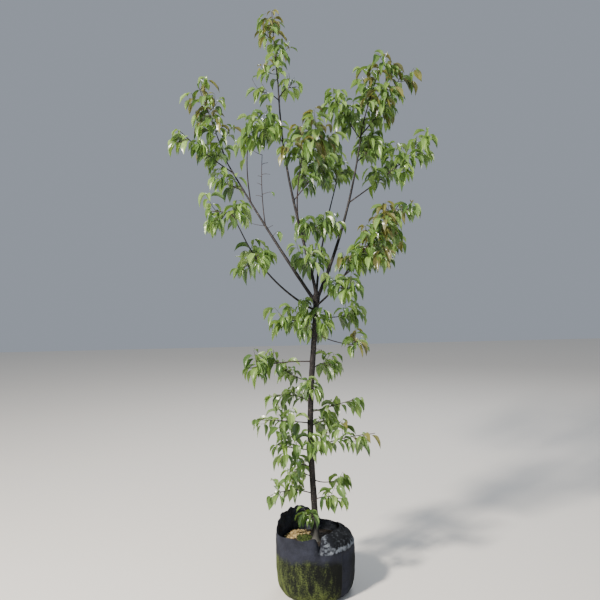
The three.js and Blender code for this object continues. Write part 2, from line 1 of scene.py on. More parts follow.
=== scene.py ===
"""A young Japanese apricot tree in a filled fabric nursery bag, dressed round its frame.

The growth rule works in millimetres and degrees: +X to the right, +Y to the back, +Z up,
with the origin in the middle of the bag's flat underside. A heading turns from +X towards
+Y, a rise is measured up from level, and a share runs from 0 at a root to 1 at a tip.
"""

import math
from collections import namedtuple

import bpy
import numpy as np
from mathutils import Matrix, Vector, kdtree, noise


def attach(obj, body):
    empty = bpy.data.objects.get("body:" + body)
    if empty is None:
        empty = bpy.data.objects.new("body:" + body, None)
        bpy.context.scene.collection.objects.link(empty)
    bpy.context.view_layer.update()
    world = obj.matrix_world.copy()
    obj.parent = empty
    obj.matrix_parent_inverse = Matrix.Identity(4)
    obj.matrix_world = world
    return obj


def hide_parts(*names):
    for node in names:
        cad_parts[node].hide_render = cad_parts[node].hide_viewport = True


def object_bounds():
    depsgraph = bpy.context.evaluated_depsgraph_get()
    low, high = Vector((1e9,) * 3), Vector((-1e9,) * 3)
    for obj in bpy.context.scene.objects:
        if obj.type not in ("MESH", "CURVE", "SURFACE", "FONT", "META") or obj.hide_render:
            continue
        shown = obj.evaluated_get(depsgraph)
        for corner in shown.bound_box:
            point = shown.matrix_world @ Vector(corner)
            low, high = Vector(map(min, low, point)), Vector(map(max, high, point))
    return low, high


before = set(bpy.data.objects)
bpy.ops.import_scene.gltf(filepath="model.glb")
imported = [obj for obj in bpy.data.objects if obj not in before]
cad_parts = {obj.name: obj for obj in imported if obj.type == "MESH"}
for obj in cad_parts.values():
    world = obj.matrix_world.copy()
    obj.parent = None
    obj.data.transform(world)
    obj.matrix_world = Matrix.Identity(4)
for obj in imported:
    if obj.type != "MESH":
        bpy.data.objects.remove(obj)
cad_low, cad_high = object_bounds()

MM = 0.001
UP = Vector((0, 0, 1))
BACK = Vector((0, 1, 0))

# The view: the camera's place in metres, its tilt down, its roll and its lens in millimetres
CAMERA_AT = (-0.033, -2.70, 1.244)
CAMERA_TILT = 4.9
CAMERA_ROLL = 1.35
CAMERA_LENS = 48.1

# The bag's wall, from the edge of its flat underside to its rim: how far inside BAG_RADIUS
# each point lies, and its height
BAG_RADIUS = 137
BAG_RIM = 214
WALL_FOLDS = 140
WALL = [(33, 0), (17, 9), (5, 36), (0, 90), (0, WALL_FOLDS), (1, 178), (1.4, 196), (2, BAG_RIM)]

# How the rim differs round the bag: a hood that stands up at the back left, a side that has
# folded inwards at the right, a higher stretch at the front left and a lower one at the back
RimShape = namedtuple("RimShape", "heading width power height lean")
RIM_SHAPES = [
    RimShape(132, 42, 4, 50, 16),
    RimShape(-22, 66, 6, 12, 52),
    RimShape(-114, 26, 2, 12, -2),
    RimShape(66, 24, 2, -14, 8),
]

# The soil and the trunk
SOIL_LEVEL = 172
TRUNK_TOP = 1032
TRUNK_FOOT_RADIUS = 11.5
TRUNK_TOP_RADIUS = 9
FLARE_RADIUS = 5
FLARE_HEIGHT = 30
TRUNK_FOOT_X = 3
TRUNK_LEAN = 20
TRUNK_BOW = 20
TRUNK_SWAY = 5
TRUNK_RINGS = 16
RING_CROWDING = 1.35

# Boughs and stems are grown in steps, and leaves are set out along them
BOUGH_STEP = 65
STEM_STEP = 120
STEM_ROOT_RADIUS = 1.7
STEM_ROOT_GROWTH = 1 / 400
STEM_TIP_RADIUS = 1.2
SMOOTH_PARTS = 5
TWIG_BARE = 0.3
GOLDEN_ANGLE = 137.5
LEAF_SPACING = 21
LAST_LEAF = 0.92

# Each bough: name, what it springs from and how far along that is (a height on the trunk, a
# share of a bough's length), its heading and rise at root and tip, length, radius at both ends
Bough = namedtuple("Bough", "name on at heading rise length radius")
BOUGHS = [
    Bough("bough_leader", "trunk", TRUNK_TOP, (125, 234), (71, 88), 720, (5.6, 2.4)),
    Bough("bough_left", "trunk", 1001, (156, 154), (54, 58), 586, (6.4, 2.3)),
    Bough("bough_right", "trunk", 1008, (37, 51), (59, 76), 635, (6.4, 2.3)),
    Bough("bough_back", "trunk", 1018, (84, 58), (50, 60), 478, (4.2, 1.8)),
    Bough("bough_low_left", "trunk", 974, (-150, -122), (28, 54), 429, (3.8, 1.8)),
    Bough("bough_low_right", "trunk", 991, (-33, -52), (35, 47), 179, (3.6, 2.4)),
    Bough("bough_left_upright", "bough_left", 0.55, (-115, -69), (76, 75), 244, (2.0, 0.9)),
    Bough("bough_centre_front", "bough_leader", 0.3, (-104, -70), (39, 61), 289, (3.0, 1.7)),
]

# Each mass of foliage: name, what carries it and where, its stem's heading and rise at root
# and tip, length, the bare share of it, how many side twigs it has and the longest one's length
Mass = namedtuple("Mass", "name on at heading rise length bare twigs reach")
MASSES = [
    Mass("left_crown", "bough_left", 1, (-151, -156), (69, 70), 286, 0.05, 7, 116),
    Mass("left_outer", "bough_left", 0.93, (-151, -164), (30, 44), 235, 0.2, 3, 66),
    Mass("left_inner", "bough_left", 0.72, (-106, -60), (69, 50), 300, 0.55, 3, 76),
    Mass("left_under", "bough_left", 0.8, (170, 185), (20, 35), 110, 0.2, 2, 60),
    Mass("low_left_tip", "bough_low_left", 1, (-120, -197), (79, -13), 116, 0.1, 4, 74),
    Mass("low_left_middle", "bough_low_left", 0.62, (-130, -50), (40, 12), 121, 0.25, 3, 66),
    Mass("low_left_under", "bough_low_left", 0.66, (150, 160), (0, -20), 86, 0.3, 1, 56),
    Mass("top", "bough_leader", 1, (205, 230), (84, 87), 232, 0.02, 4, 84),
    Mass("upper_left", "bough_leader", 0.92, (-118, -150), (23, -1), 100, 0.25, 2, 56),
    Mass("upper_right", "bough_leader", 0.93, (58, 40), (55, 0), 105, 0.2, 2, 60),
    Mass("centre_left", "bough_leader", 0.72, (-128, -150), (60, 0), 112, 0.15, 4, 80),
    Mass("centre_front", "bough_centre_front", 1, (-57, 15), (70, 42), 108, 0.0, 6, 98),
    Mass("centre_right", "bough_leader", 0.45, (40, 20), (40, 62), 190, 0.3, 5, 84),
    Mass("inner_front", "bough_leader", 0.27, (-60, -30), (30, 20), 118, 0.35, 2, 60),
    Mass("inner_low", "bough_leader", 0.13, (-115, -63), (29, 12), 140, 0.3, 2, 62),
    Mass("inner_back", "bough_leader", 0.08, (80, 104), (30, 14), 130, 0.35, 2, 66),
    Mass("right_crown", "bough_right", 1, (-10, -30), (76, 65), 258, 0.0, 8, 112),
    Mass("right_inner", "bough_right", 0.95, (-150, -120), (50, 38), 190, 0.2, 4, 80),
    Mass("right_tip", "bough_right", 0.97, (25, 14), (45, 62), 290, 0.25, 3, 72),
    Mass("right_back", "bough_right", 0.82, (48, 70), (25, 42), 165, 0.2, 5, 84),
    Mass("right_side", "bough_right", 0.58, (-13, -28), (33, 38), 350, 0.28, 6, 88),
    Mass("back_crown", "bough_back", 1, (74, 150), (70, 50), 150, 0.0, 4, 84),
    Mass("back_middle", "bough_back", 0.55, (110, 130), (25, 15), 150, 0.25, 2, 70),
    Mass("low_right_front", "bough_low_right", 1, (-36, -10), (46, 53), 282, 0.05, 8, 94),
    Mass("low_right_back", "bough_low_right", 0.9, (38, 27), (30, 26), 240, 0.2, 5, 84),
    Mass("low_right_under", "bough_low_right", 0.55, (-70, -60), (10, -5), 110, 0.3, 2, 58),
    Mass("right_low_bough", "bough_right", 0.38, (-114, -110), (35, 8), 118, 0.25, 2, 62),
    Mass("trunk_01", "trunk", 985, (-98, -96), (-2, -14), 112, 0.1, 3, 72),
    Mass("trunk_02", "trunk", 926, (-148, -171), (24, -7), 147, 0.1, 2, 72),
    Mass("trunk_03", "trunk", 947, (35, 20), (0, 2), 180, 0.45, 2, 66),
    Mass("trunk_04", "trunk", 899, (-22, -26), (-26, 4), 180, 0.65, 1, 56),
    Mass("trunk_05", "trunk", 890, (98, 84), (15, -4), 150, 0.2, 2, 66),
    Mass("trunk_06", "trunk", 803, (-155, -165), (7, -10), 225, 0.38, 2, 70),
    Mass("trunk_07", "trunk", 735, (146, 140), (0, 30), 124, 0.45, 1, 54),
    Mass("trunk_08", "trunk", 776, (64, 41), (18, -25), 131, 0.25, 2, 56),
    Mass("trunk_09", "trunk", 728, (-89, -85), (6, -10), 98, 0.15, 1, 58),
    Mass("trunk_10", "trunk", 662, (129, 164), (17, -14), 169, 0.25, 1, 68),
    Mass("trunk_11", "trunk", 627, (-14, -20), (17, 19), 180, 0.2, 2, 60),
    Mass("trunk_12", "trunk", 589, (-144, -167), (14, 6), 198, 0.15, 1, 68),
    Mass("trunk_13", "trunk", 572, (72, 41), (9, -14), 147, 0.25, 1, 62),
    Mass("trunk_14", "trunk", 495, (-125, -153), (14, 20), 161, 0.3, 1, 64),
    Mass("trunk_15", "trunk", 498, (-14, -22), (24, 9), 236, 0.15, 1, 64),
    Mass("trunk_16", "trunk", 520, (-82, -70), (10, -18), 84, 0.15, 1, 54),
    Mass("trunk_17", "trunk", 432, (-132, -140), (30, 20), 52, 0.2, 1, 50),
    Mass("trunk_18", "trunk", 398, (126, 147), (8, -9), 110, 0.4, 1, 56),
    Mass("trunk_19", "trunk", 389, (35, 31), (-30, 16), 137, 0.4, 1, 56),
    Mass("trunk_20", "trunk", 340, (-164, -158), (25, -15), 158, 0.2, 2, 66),
    Mass("trunk_21", "trunk", 319, (-47, -29), (30, -6), 119, 0.3, 1, 54),
    Mass("trunk_22", "trunk", 258, (-118, -100), (30, 0), 62, 0.2, 1, 46),
]

# A twig: its place between its neighbours, its turn, its lean along the stem with what is
# drawn on top, its length as a share of the reach, how that falls towards the tip, its bow
TWIG_PLACE = 0.4
TWIG_TURN = 50
TWIG_LEAN = (0.35, 0.4)
TWIG_LENGTH = (0.5, 0.5)
TWIG_FALL = (1.1, 0.45)
TWIG_BOW = -0.10
TWIG_SWING = 0.16
TWIG_PARTS = 6
TWIG_RADIUS = (1.0, 0.7)
TWIG_FEWEST_LEAVES = 2

# Finer twigs than the source has room for, which fork from stems and twigs
FINER_BARE = 0.35
FINER_LEAF_SPACING = 15
FINER_LAST = 0.92
FINER_TURN = (40, 80)
FINER_LEAN = (0.5, 0.5)
FINER_RADIUS = (0.8, 0.5)
FINER_SPACING = (62, 45)
FINER_LENGTH = (28, 60)
TIP_LEAVES = (4, 3, 2)
TIP_LEAF_SIZE = (0.45, 0.8)

# A leaf: its length and width, the ranges of its bend and fold, its size and droop with what
# is drawn on top, how far it sways and twists, where its arch turns down and its sway starts
LEAF_LENGTH = 58
LEAF_WIDTH = 27
LEAF_BEND = (1.0, 2.5)
LEAF_FOLD = (22, 66)
LEAF_SIZE = (0.78, 0.4)
LEAF_DROOP = (0.55, 0.9)
LEAF_SWAY = 0.4
LEAF_TWIST = 0.7
ARCH_ENDS = 0.42
SWAY_STARTS = 0.3

# The room that leaves keep from one another, from limbs and from bag and soil
LEAF_ROOM = 11
LIMB_ROOM = 15
ABOVE_BAG = 8
ABOVE_SOIL = 6
INSIDE_RIM = 75
BAG_TOP = BAG_RIM + RIM_SHAPES[0].height

# Short spurs on the bare boughs, and how many leaves each has at its tip
Spur = namedtuple("Spur", "on at heading rise length leaves")
SPURS = [
    Spur("bough_left_upright", 0.45, (5, -15), (25, 5), 28, 1),
    Spur("bough_left_upright", 0.42, (185, 170), (20, 5), 22, 0),
    Spur("bough_left_upright", 0.58, (200, 180), (35, 20), 17, 0),
    Spur("bough_left_upright", 0.70, (175, 160), (20, 10), 13, 0),
    Spur("bough_left_upright", 0.73, (0, -10), (15, -15), 27, 0),
    Spur("bough_left_upright", 0.87, (5, 20), (25, 5), 21, 0),
    Spur("bough_left_upright", 1.00, (190, 170), (15, 50), 48, 2),
    Spur("bough_left", 0.55, (185, 165), (5, 22), 62, 2),
    Spur("bough_left", 0.53, (0, 25), (35, 20), 22, 0),
    Spur("bough_left", 0.47, (-25, 10), (60, 30), 26, 2),
    Spur("bough_left", 0.83, (185, 170), (10, 0), 30, 1),
    Spur("bough_leader", 0.36, (170, 150), (40, 20), 24, 1),
    Spur("bough_right", 0.30, (20, 40), (25, 10), 20, 0),
    Spur("trunk", 845, (-10, -20), (5, -15), 28, 0),
]
SPUR_RADIUS = (1.1, 0.6)
SPUR_LEAF_SIZE = 0.8

# The share of the leaves that a mass keeps, and their size, where these aren't 1
KEPT = {
    "top": 0.8, "upper_left": 0.3, "upper_right": 0.35, "centre_left": 0.7, "left_crown": 0.75,
    "left_outer": 0.7, "left_inner": 0.5, "low_left_tip": 0.8, "low_left_middle": 0.85,
    "right_crown": 0.8, "right_tip": 0.55, "right_side": 0.85, "low_right_back": 0.8,
    "inner_low": 0.6, "right_low_bough": 0.6, "trunk_01": 0.7, "trunk_02": 0.75, "trunk_03": 0.7,
    "trunk_04": 0.65, "trunk_05": 0.7, "trunk_06": 0.75, "trunk_08": 0.8, "trunk_10": 0.85,
    "trunk_11": 0.75, "trunk_12": 0.7, "trunk_14": 0.8, "trunk_15": 0.6, "trunk_19": 0.6,
    "trunk_20": 0.7, "trunk_21": 0.8,
}
SIZED = {"top": 0.9, "upper_left": 0.95, "upper_right": 0.95}

# Colours of leaves: shaded, lit and seen with the light behind. The darkest kind is painted shade in
# the inner masses, and elsewhere a darker leaf dealt at random
LEAF_KINDS = {
    "fresh": ("466530", "7f9c58", "9fc150"),
    "mature": ("324e24", "5f7d42", "82a648"),
    "deep_and_shaded": ("223d1c", "446131", "6b8f3a"),
    "bronze": ("434426", "757840", "8f8c3b"),
}
BRONZE_MASSES = {
    "top", "left_crown", "right_crown", "right_tip", "centre_front", "low_right_front",
    "low_right_back", "trunk_04", "trunk_15",
}
# Inner masses, whose leaves are mostly of the darkest kind as painted shade
SHADED_INNER_MASSES = {"inner_front", "inner_low", "inner_back", "back_middle", "centre_right"}

# Where on a shoot, or how high, leaves are bronze or young, and each kind's share of the draws
BRONZE_FROM = 0.6
BRONZE_SHARE = 0.45
YOUNG_FROM = 0.75
YOUNG_HEIGHT = 1700
YOUNG_FRESH = 0.75
# The share of an inner mass's leaves drawn of the darkest kind, as painted shade
INNER_SHADED_SHARE = 0.6
FRESH_UP_TO = 0.35
MATURE_UP_TO = 0.8

# Bark relief: broad and fine swellings for boughs and trunk, lobes at the trunk's foot, a
# flare and a collar at each root. A grid is the space between rings and their points.
Rough = namedtuple("Rough", "broad broad_height fine fine_height")
ROUGHNESS = (Rough(30, 0.5, 4, 0.12), Rough(26, 0.7, 3.2, 0.28))
ROOT_LOBES = 1.6
ROOT_FLARE = 1.8
COLLAR_HEIGHT = 1.3
LOBE_HEIGHT = 24
FLARE_LENGTH = 16
TIP_RINGS = (0.35, 0.65, 0.87, 0.97)
TRUNK_GRID = (1.6, 48)
BOUGH_GRID = (3, 20)
YOUNG_BOUGHS = {"bough_centre_front", "bough_left_upright"}

# The felt: the side that folds in, the pleat under it and the sizes of the mesh
HOOD = RIM_SHAPES[0]
FOLDED_SIDE = RIM_SHAPES[1]
NOTCH = RimShape(-84, 4, 2, -30, 0)
DUSTY_CORNER = RimShape(-74, 9, 2, 0, 0)
PLEAT_EDGE = (-52, -46)
PLEAT_END = (-40, -5)
PLEAT_DEPTH = 9
WALL_PARTS = 16
BAG_COLUMNS = 300
FELT = 1.8
WALL_THICKNESS = 4
FOOT_PLEAT = 1.6
UNDERSIDE_RINGS = (30, 60, 85)
DUST_FROM = (0.166, 0.178)
DUST_UP_TO = (0.18, 0.198)

# The soil: how it heaves (size, seed and height of the noise) and what lies on it
SOIL_EDGE_DROP = 7
SOIL_HEAVES = [(26, 7, 3.2), (8, 8, 1.5)]
SOIL_RADIUS = 130
MOSS_LIFT = 4
MOSS_X = -36
MOSS_Y = 18
MOSS_RADIUS = 27
PILE_X = -66
PILE_Y = 64
PILE_RADIUS = 34
PILE_HEIGHT = 10
CHIP_ROOM = 11
# No chips lie right of this line, so the dark potting mix stands as painted shade by the notch and the
# folded side
SHADED_BARE_SOIL_X = 6
STREWN_RADIUS = 120
STREWN_CHIPS = 110
PILED_CHIPS = 330
PILED_RADIUS = 44
CRUMBS = 1400
MOSS_TUFTS = 1900


# The growth rule, as in the source

def mix(low, high, share):
    return low + (high - low) * share


def seeded(seed):
    """Numbers from 0 to 1 that come out the same for the same seed."""
    word = 2**32
    state = seed % word

    def chance():
        nonlocal state
        state = (state + 0x6D2B79F5) % word
        value = ((state ^ state >> 15) * (state | 1)) % word
        value ^= (value + (value ^ value >> 7) * (value | 61)) % word
        return (value ^ value >> 14) / word

    return chance


def direction(heading, rise):
    turn = math.radians(heading)
    tilt = math.radians(rise)
    level = math.cos(tilt)
    return Vector((math.cos(turn) * level, math.sin(turn) * level, math.sin(tilt)))


Ring = namedtuple("Ring", "point along side across")


def framed(points):
    """A line's points, with the frame that is carried along it without twist."""
    line = []
    side = None
    last = len(points) - 1
    for i, point in enumerate(points):
        along = (points[min(i + 1, last)] - points[max(i - 1, 0)]).normalized()
        if side is None:
            side = along.cross(BACK if abs(along.z) > 0.9 else UP)
        side = (side - along * side.dot(along)).normalized()
        line.append(Ring(point, along, side, side.cross(along)))
    return line


def smooth(points, parts):
    """Points on a curve through the given ones, with so many parts between two of them."""
    ends = [points[0] * 2 - points[1], *points, points[-1] * 2 - points[-2]]
    made = []
    for i in range(1, len(ends) - 2):
        a, b, c, d = ends[i - 1 : i + 3]
        for k in range(parts):
            t = k / parts
            cubic = (b * 3 - a - c * 3 + d) * t**3
            square = (a * 2 - b * 5 + c * 4 - d) * t**2
            made.append((b * 2 + (c - a) * t + square + cubic) / 2)
    made.append(points[-1].copy())
    return made


def grown_line(root, heading, rise, length, steps):
    points = [root.copy()]
    for i in range(steps):
        share = (i + 0.5) / steps
        step = direction(mix(*heading, share), mix(*rise, share))
        points.append(points[i] + step * (length / steps))
    return framed(smooth(points, SMOOTH_PARTS))


def place_on(line, share):
    where = share * (len(line) - 1)
    i = min(int(where), len(line) - 2)
    low, high = line[i], line[i + 1]
    blend = [getattr(low, key).lerp(getattr(high, key), where - i) for key in Ring._fields]
    return Ring(blend[0], *(way.normalized() for way in blend[1:]))


def outwards(place, turn):
    """The way out of a line at a place on it, at an angle round it."""
    return place.side * math.cos(turn) + place.across * math.sin(turn)


def drawn(base_and_more, chance):
    """A base value with a drawn share of what may come on top."""
    return base_and_more[0] + base_and_more[1] * chance()


def taper(radius):
    return lambda share: mix(*radius, share)


def trunk_line():
    points = []
    for i in range(TRUNK_RINGS + 1):
        share = (i / TRUNK_RINGS) ** RING_CROWDING
        x = TRUNK_FOOT_X + TRUNK_LEAN * share - TRUNK_BOW * math.sin(math.pi * share) ** 1.5
        y = TRUNK_SWAY * math.sin(2 * math.pi * share)
        points.append(Vector((x, y, mix(SOIL_LEVEL, TRUNK_TOP, share))))
    return framed(smooth(points, SMOOTH_PARTS))


def trunk_radius(share):
    height = share * (TRUNK_TOP - SOIL_LEVEL)
    flare = FLARE_RADIUS * math.exp(-((height / FLARE_HEIGHT) ** 1.5))
    return mix(TRUNK_FOOT_RADIUS, TRUNK_TOP_RADIUS, share) + flare


Limb = namedtuple("Limb", "line radius_at length")
limbs = {"trunk": Limb(trunk_line(), trunk_radius, TRUNK_TOP - SOIL_LEVEL)}


def trunk_place(height):
    line = limbs["trunk"].line
    i = next(i for i, ring in enumerate(line) if i > 0 and ring.point.z >= height)
    low, high = line[i - 1].point, line[i].point
    return low.lerp(high, (height - low.z) / (high.z - low.z))


def root_of(row):
    """Where a limb or a stem starts, on the axis of what carries it."""
    if row.on != "trunk":
        return place_on(limbs[row.on].line, row.at).point
    if row.at == TRUNK_TOP:
        return trunk_place(row.at) + direction(row.heading[0], row.rise[0]) * TRUNK_TOP_RADIUS * 0.4
    return trunk_place(row.at)


def grow_limbs():
    for bough in BOUGHS:
        steps = max(5, round(bough.length / BOUGH_STEP))
        line = grown_line(root_of(bough), bough.heading, bough.rise, bough.length, steps)
        limbs[bough.name] = Limb(line, taper(bough.radius), bough.length)


def stem_of(mass):
    root_radius = STEM_ROOT_RADIUS + mass.length * STEM_ROOT_GROWTH
    if mass.at == 1:
        root_radius = limbs[mass.on].radius_at(1)
    steps = round(1.5 + mass.length / STEM_STEP)
    line = grown_line(root_of(mass), mass.heading, mass.rise, mass.length, steps)
    return Limb(line, taper((root_radius, STEM_TIP_RADIUS)), mass.length)


# A shoot bears leaves past its bare share. Its order is 0 for a stem, 1 for a twig and 2 for
# a finer twig.
Shoot = namedtuple("Shoot", "line radius length bare leaves order")


def bowed(root, way, size, chance):
    """The line of a twig that bends up a little on its way to the same tip."""
    bow = (UP * TWIG_BOW + way.orthogonal() * (chance() - 0.5) * TWIG_SWING) * size
    points = []
    for i in range(TWIG_PARTS + 1):
        share = i / TWIG_PARTS
        points.append(root + way * size * share + bow * math.sin(math.pi * share))
    return framed(points)


def shoots_of(mass, stem, chance, finer):
    """The source's stem and twigs, and on each twig the finer ones that it has no room for."""
    leaves = round(mass.length * (1 - mass.bare) / LEAF_SPACING)
    radius = (stem.radius_at(0), stem.radius_at(1))
    shoots = [Shoot(stem.line, radius, mass.length, mass.bare, leaves, 0)]
    for i in range(mass.twigs):
        share = mass.bare + (1 - mass.bare) * (i + TWIG_PLACE) / mass.twigs
        place = place_on(stem.line, share)
        turn = math.radians(i * GOLDEN_ANGLE + TWIG_TURN * chance())
        way = (outwards(place, turn) + place.along * drawn(TWIG_LEAN, chance)).normalized()
        size = mass.reach * drawn(TWIG_LENGTH, chance) * (TWIG_FALL[0] - TWIG_FALL[1] * share)
        line = bowed(place.point, way, size, finer)
        leaves = max(TWIG_FEWEST_LEAVES, round(size / LEAF_SPACING))
        shoots.append(Shoot(line, TWIG_RADIUS, size, TWIG_BARE, leaves, 1))
    return shoots


def finer_shoots(shoots, chance):
    """Finer twigs: they fork from the twigs by turns to either side, within their reach."""
    made = []
    for shoot in shoots:
        forks = round(shoot.length * (1 - shoot.bare) / FINER_SPACING[shoot.order])
        for k in range(forks):
            share = mix(shoot.bare, FINER_LAST, (k + 0.3 + 0.4 * chance()) / forks)
            place = place_on(shoot.line, share)
            turn = math.radians(GOLDEN_ANGLE * k + FINER_TURN[1] * chance() + FINER_TURN[0])
            way = (outwards(place, turn) + place.along * drawn(FINER_LEAN, chance)).normalized()
            size = mix(*FINER_LENGTH, chance())
            line = bowed(place.point, way, size, chance)
            leaves = max(TWIG_FEWEST_LEAVES, round(size / FINER_LEAF_SPACING))
            made.append(Shoot(line, FINER_RADIUS, size, FINER_BARE, leaves, 2))
    return made


Leaf = namedtuple("Leaf", "root towards facing size share")


def leaf_at(shoot, share, turn, chance, last=False):
    place = place_on(shoot.line, share)
    out = outwards(place, turn)
    size = drawn(LEAF_SIZE, chance)
    droop = drawn(LEAF_DROOP, chance)
    towards = out * (0.2 if last else 0.75) + place.along * 0.55 - UP * droop
    facing = out * 0.6 + place.along * 0.3 + UP * 0.7
    return Leaf(place.point, towards.normalized(), facing, size, share)


def leaves_of(shoot, chance):
    """The leaves that the source gives a shoot, to either side by turns, the last at its tip."""
    leaves = []
    for k in range(shoot.leaves):
        last = k == shoot.leaves - 1
        share = LAST_LEAF if last else mix(shoot.bare, 1, (k + 0.5) / shoot.leaves)
        turn = math.radians(180 * k + 70 * (chance() - 0.5))
        leaves.append(leaf_at(shoot, share, turn, chance, last))
    return leaves


def leaves_between(shoot, chance):
    """More leaves halfway between those of the source, and a tuft of small ones at the tip."""
    leaves = []
    for k in range(shoot.leaves):
        share = mix(shoot.bare, 0.98, k / shoot.leaves)
        turn = math.radians(180 * k + 90 + 90 * (chance() - 0.5))
        leaves.append(leaf_at(shoot, share, turn, chance))
    for k in range(TIP_LEAVES[shoot.order]):
        turn = math.radians(120 * k + 60 * chance())
        leaf = leaf_at(shoot, 1, turn, chance, last=k == 0)
        leaves.append(leaf._replace(size=leaf.size * mix(*TIP_LEAF_SIZE, chance())))
    return leaves


# Leaves

# A leaf's rows from its axil to its tip: share of the length, and half the width as a share
# of the widest. The first rows are the stalk.
STALK_SHARE = 0.15
STALK_HALF_WIDTH = 0.65
STALK_CHANNEL = 1.1
BLADE = [
    (0, 0.05),
    (0.07, 0.45),
    (0.17, 0.80),
    (0.29, 0.97),
    (0.41, 1.0),
    (0.53, 0.92),
    (0.65, 0.73),
    (0.76, 0.48),
    (0.86, 0.25),
    (0.94, 0.11),
    (1, 0.02),
]
LEAF_ROWS = [(0, 0), (0.08, 0)] + [(mix(STALK_SHARE, 1, s), w) for s, w in BLADE]


def leaf_rows(leaf, chance):
    """The rows of one leaf, which arches up from its axil and then hangs from its middle."""
    length = LEAF_LENGTH * leaf.size
    bend = mix(*LEAF_BEND, chance())
    sway = mix(-LEAF_SWAY, LEAF_SWAY, chance())
    twist = mix(-LEAF_TWIST, LEAF_TWIST, chance())
    fold = math.radians(mix(*LEAF_FOLD, chance()))
    phase = chance()
    first_side = leaf.towards.cross(leaf.facing).normalized()
    point = leaf.root.copy()
    rows = []
    before = 0
    for share, width in LEAF_ROWS:
        way = leaf.towards + UP * bend * (ARCH_ENDS - share)
        way += first_side * sway * (share - SWAY_STARTS)
        way.normalize()
        point = point + way * length * (share - before)
        before = share
        face = (leaf.facing - way * leaf.facing.dot(way)).normalized()
        side = way.cross(face)
        turn = twist * share
        side, face = (
            side * math.cos(turn) + face * math.sin(turn),
            face * math.cos(turn) - side * math.sin(turn),
        )
        half = max(STALK_HALF_WIDTH, LEAF_WIDTH / 2 * leaf.size * width) * math.cos(fold)
        if share == 1:
            half = STALK_HALF_WIDTH / 3
        lift = STALK_CHANNEL if share <= STALK_SHARE else math.tan(fold)
        values = (half * MM, (share - STALK_SHARE) / (1 - STALK_SHARE), phase, lift)
        rows.append((point * MM, side, face, *values))
    return rows


def clear_of_bag(point):
    if point.z > BAG_TOP + ABOVE_BAG:
        return True
    return math.hypot(point.x, point.y) < INSIDE_RIM and point.z > SOIL_LEVEL + ABOVE_SOIL


def in_reach(point):
    """Whether a point in metres lies in the box that the object may fill."""
    return all(low <= value <= high for low, value, high in zip(reach_low, point, reach_high))


class Crowd:
    """Places that are taken, so that leaves leave one another some room."""

    def __init__(self, cell):
        self.cell = cell
        self.taken = {}

    def has_room(self, point, room):
        key = [int(value // self.cell) for value in point]
        for x in (-1, 0, 1):
            for y in (-1, 0, 1):
                for z in (-1, 0, 1):
                    near = self.taken.get((key[0] + x, key[1] + y, key[2] + z), ())
                    if any((point - other).length < room for other in near):
                        return False
        self.taken.setdefault(tuple(key), []).append(point)
        return True


def kind_of(mass, shoot, leaf, chance):
    """The colour kind of a leaf: the youngest are bronze or fresh, and the inner ones are mostly of the
    darkest kind, as painted shade.
    """
    draw = chance()
    if leaf.share > BRONZE_FROM and mass.name in BRONZE_MASSES and chance() < BRONZE_SHARE:
        return "bronze"
    if leaf.share > YOUNG_FROM or place_on(shoot.line, 1).point.z > YOUNG_HEIGHT:
        return "fresh" if draw < YOUNG_FRESH else "mature"
    # Painted shade: most leaves of the inner masses are of the darkest kind
    if mass.name in SHADED_INNER_MASSES:
        return "deep_and_shaded" if draw < INNER_SHADED_SHARE else "mature"
    if draw < FRESH_UP_TO:
        return "fresh"
    return "mature" if draw < MATURE_UP_TO else "deep_and_shaded"


def grow_foliage():
    """Every shoot, the rows of every leaf by colour kind, and the places of the buds."""
    limb_points = kdtree.KDTree(sum(len(limb.line) for limb in limbs.values()))
    for i, ring in enumerate(ring for limb in limbs.values() for ring in limb.line):
        limb_points.insert(ring.point, i)
    limb_points.balance()
    crowd = Crowd(LEAF_ROOM)
    all_shoots = []
    leaves = {kind: [] for kind in LEAF_KINDS}
    buds = []
    for index, mass in enumerate(MASSES):
        chance = seeded(index + 1)
        finer = seeded(index + 1001)
        stem = stem_of(mass)
        shoots = shoots_of(mass, stem, chance, finer)
        grown = [(shoot, leaf) for shoot in shoots for leaf in leaves_of(shoot, chance)]
        extra = finer_shoots(shoots, finer)
        for shoot in extra:
            grown += [(shoot, leaf) for leaf in leaves_of(shoot, finer)]
        for shoot in shoots + extra:
            grown += [(shoot, leaf) for leaf in leaves_between(shoot, finer)]
        kept, sized = KEPT.get(mass.name, 1), SIZED.get(mass.name, 1)
        all_shoots += [shoot for shoot in shoots + extra if in_reach(shoot.line[-1].point * MM)]
        for shoot, leaf in grown:
            rows = leaf_rows(leaf._replace(size=leaf.size * sized), finer)
            if finer() > kept:
                continue
            middle = rows[6][0] / MM
            if not all(in_reach(row[0]) and clear_of_bag(row[0] / MM) for row in rows):
                continue
            if limb_points.find(middle)[2] < LIMB_ROOM or not crowd.has_room(middle, LEAF_ROOM):
                continue
            leaves[kind_of(mass, shoot, leaf, finer)].append(rows)
            if shoot.order < 2 and leaf.share < 1:
                buds.append((leaf.root * MM, leaf.towards * 0.4 + UP * 0.6))
    return all_shoots, leaves, buds


def grow_spurs(all_shoots, leaves, buds):
    """Spurs on the bare boughs: each ends in a bud, and some bear a leaf or two."""
    chance = seeded(len(MASSES) + 1)
    for spur in SPURS:
        line = grown_line(root_of(spur), spur.heading, spur.rise, spur.length, 3)
        shoot = Shoot(line, SPUR_RADIUS, spur.length, 0, spur.leaves, 2)
        all_shoots.append(shoot)
        buds.append((line[-1].point * MM, line[-1].along))
        for k in range(spur.leaves):
            leaf = leaf_at(shoot, 1, math.radians(150 * k + 60 * chance()), chance)
            leaf = leaf._replace(size=leaf.size * SPUR_LEAF_SIZE)
            leaves["mature"].append(leaf_rows(leaf, chance))


# Meshes made of numbers


def mesh_of(name, points, edges=(), faces=()):
    mesh = bpy.data.meshes.new(name)
    mesh.from_pydata([tuple(point) for point in points], edges, faces)
    return mesh


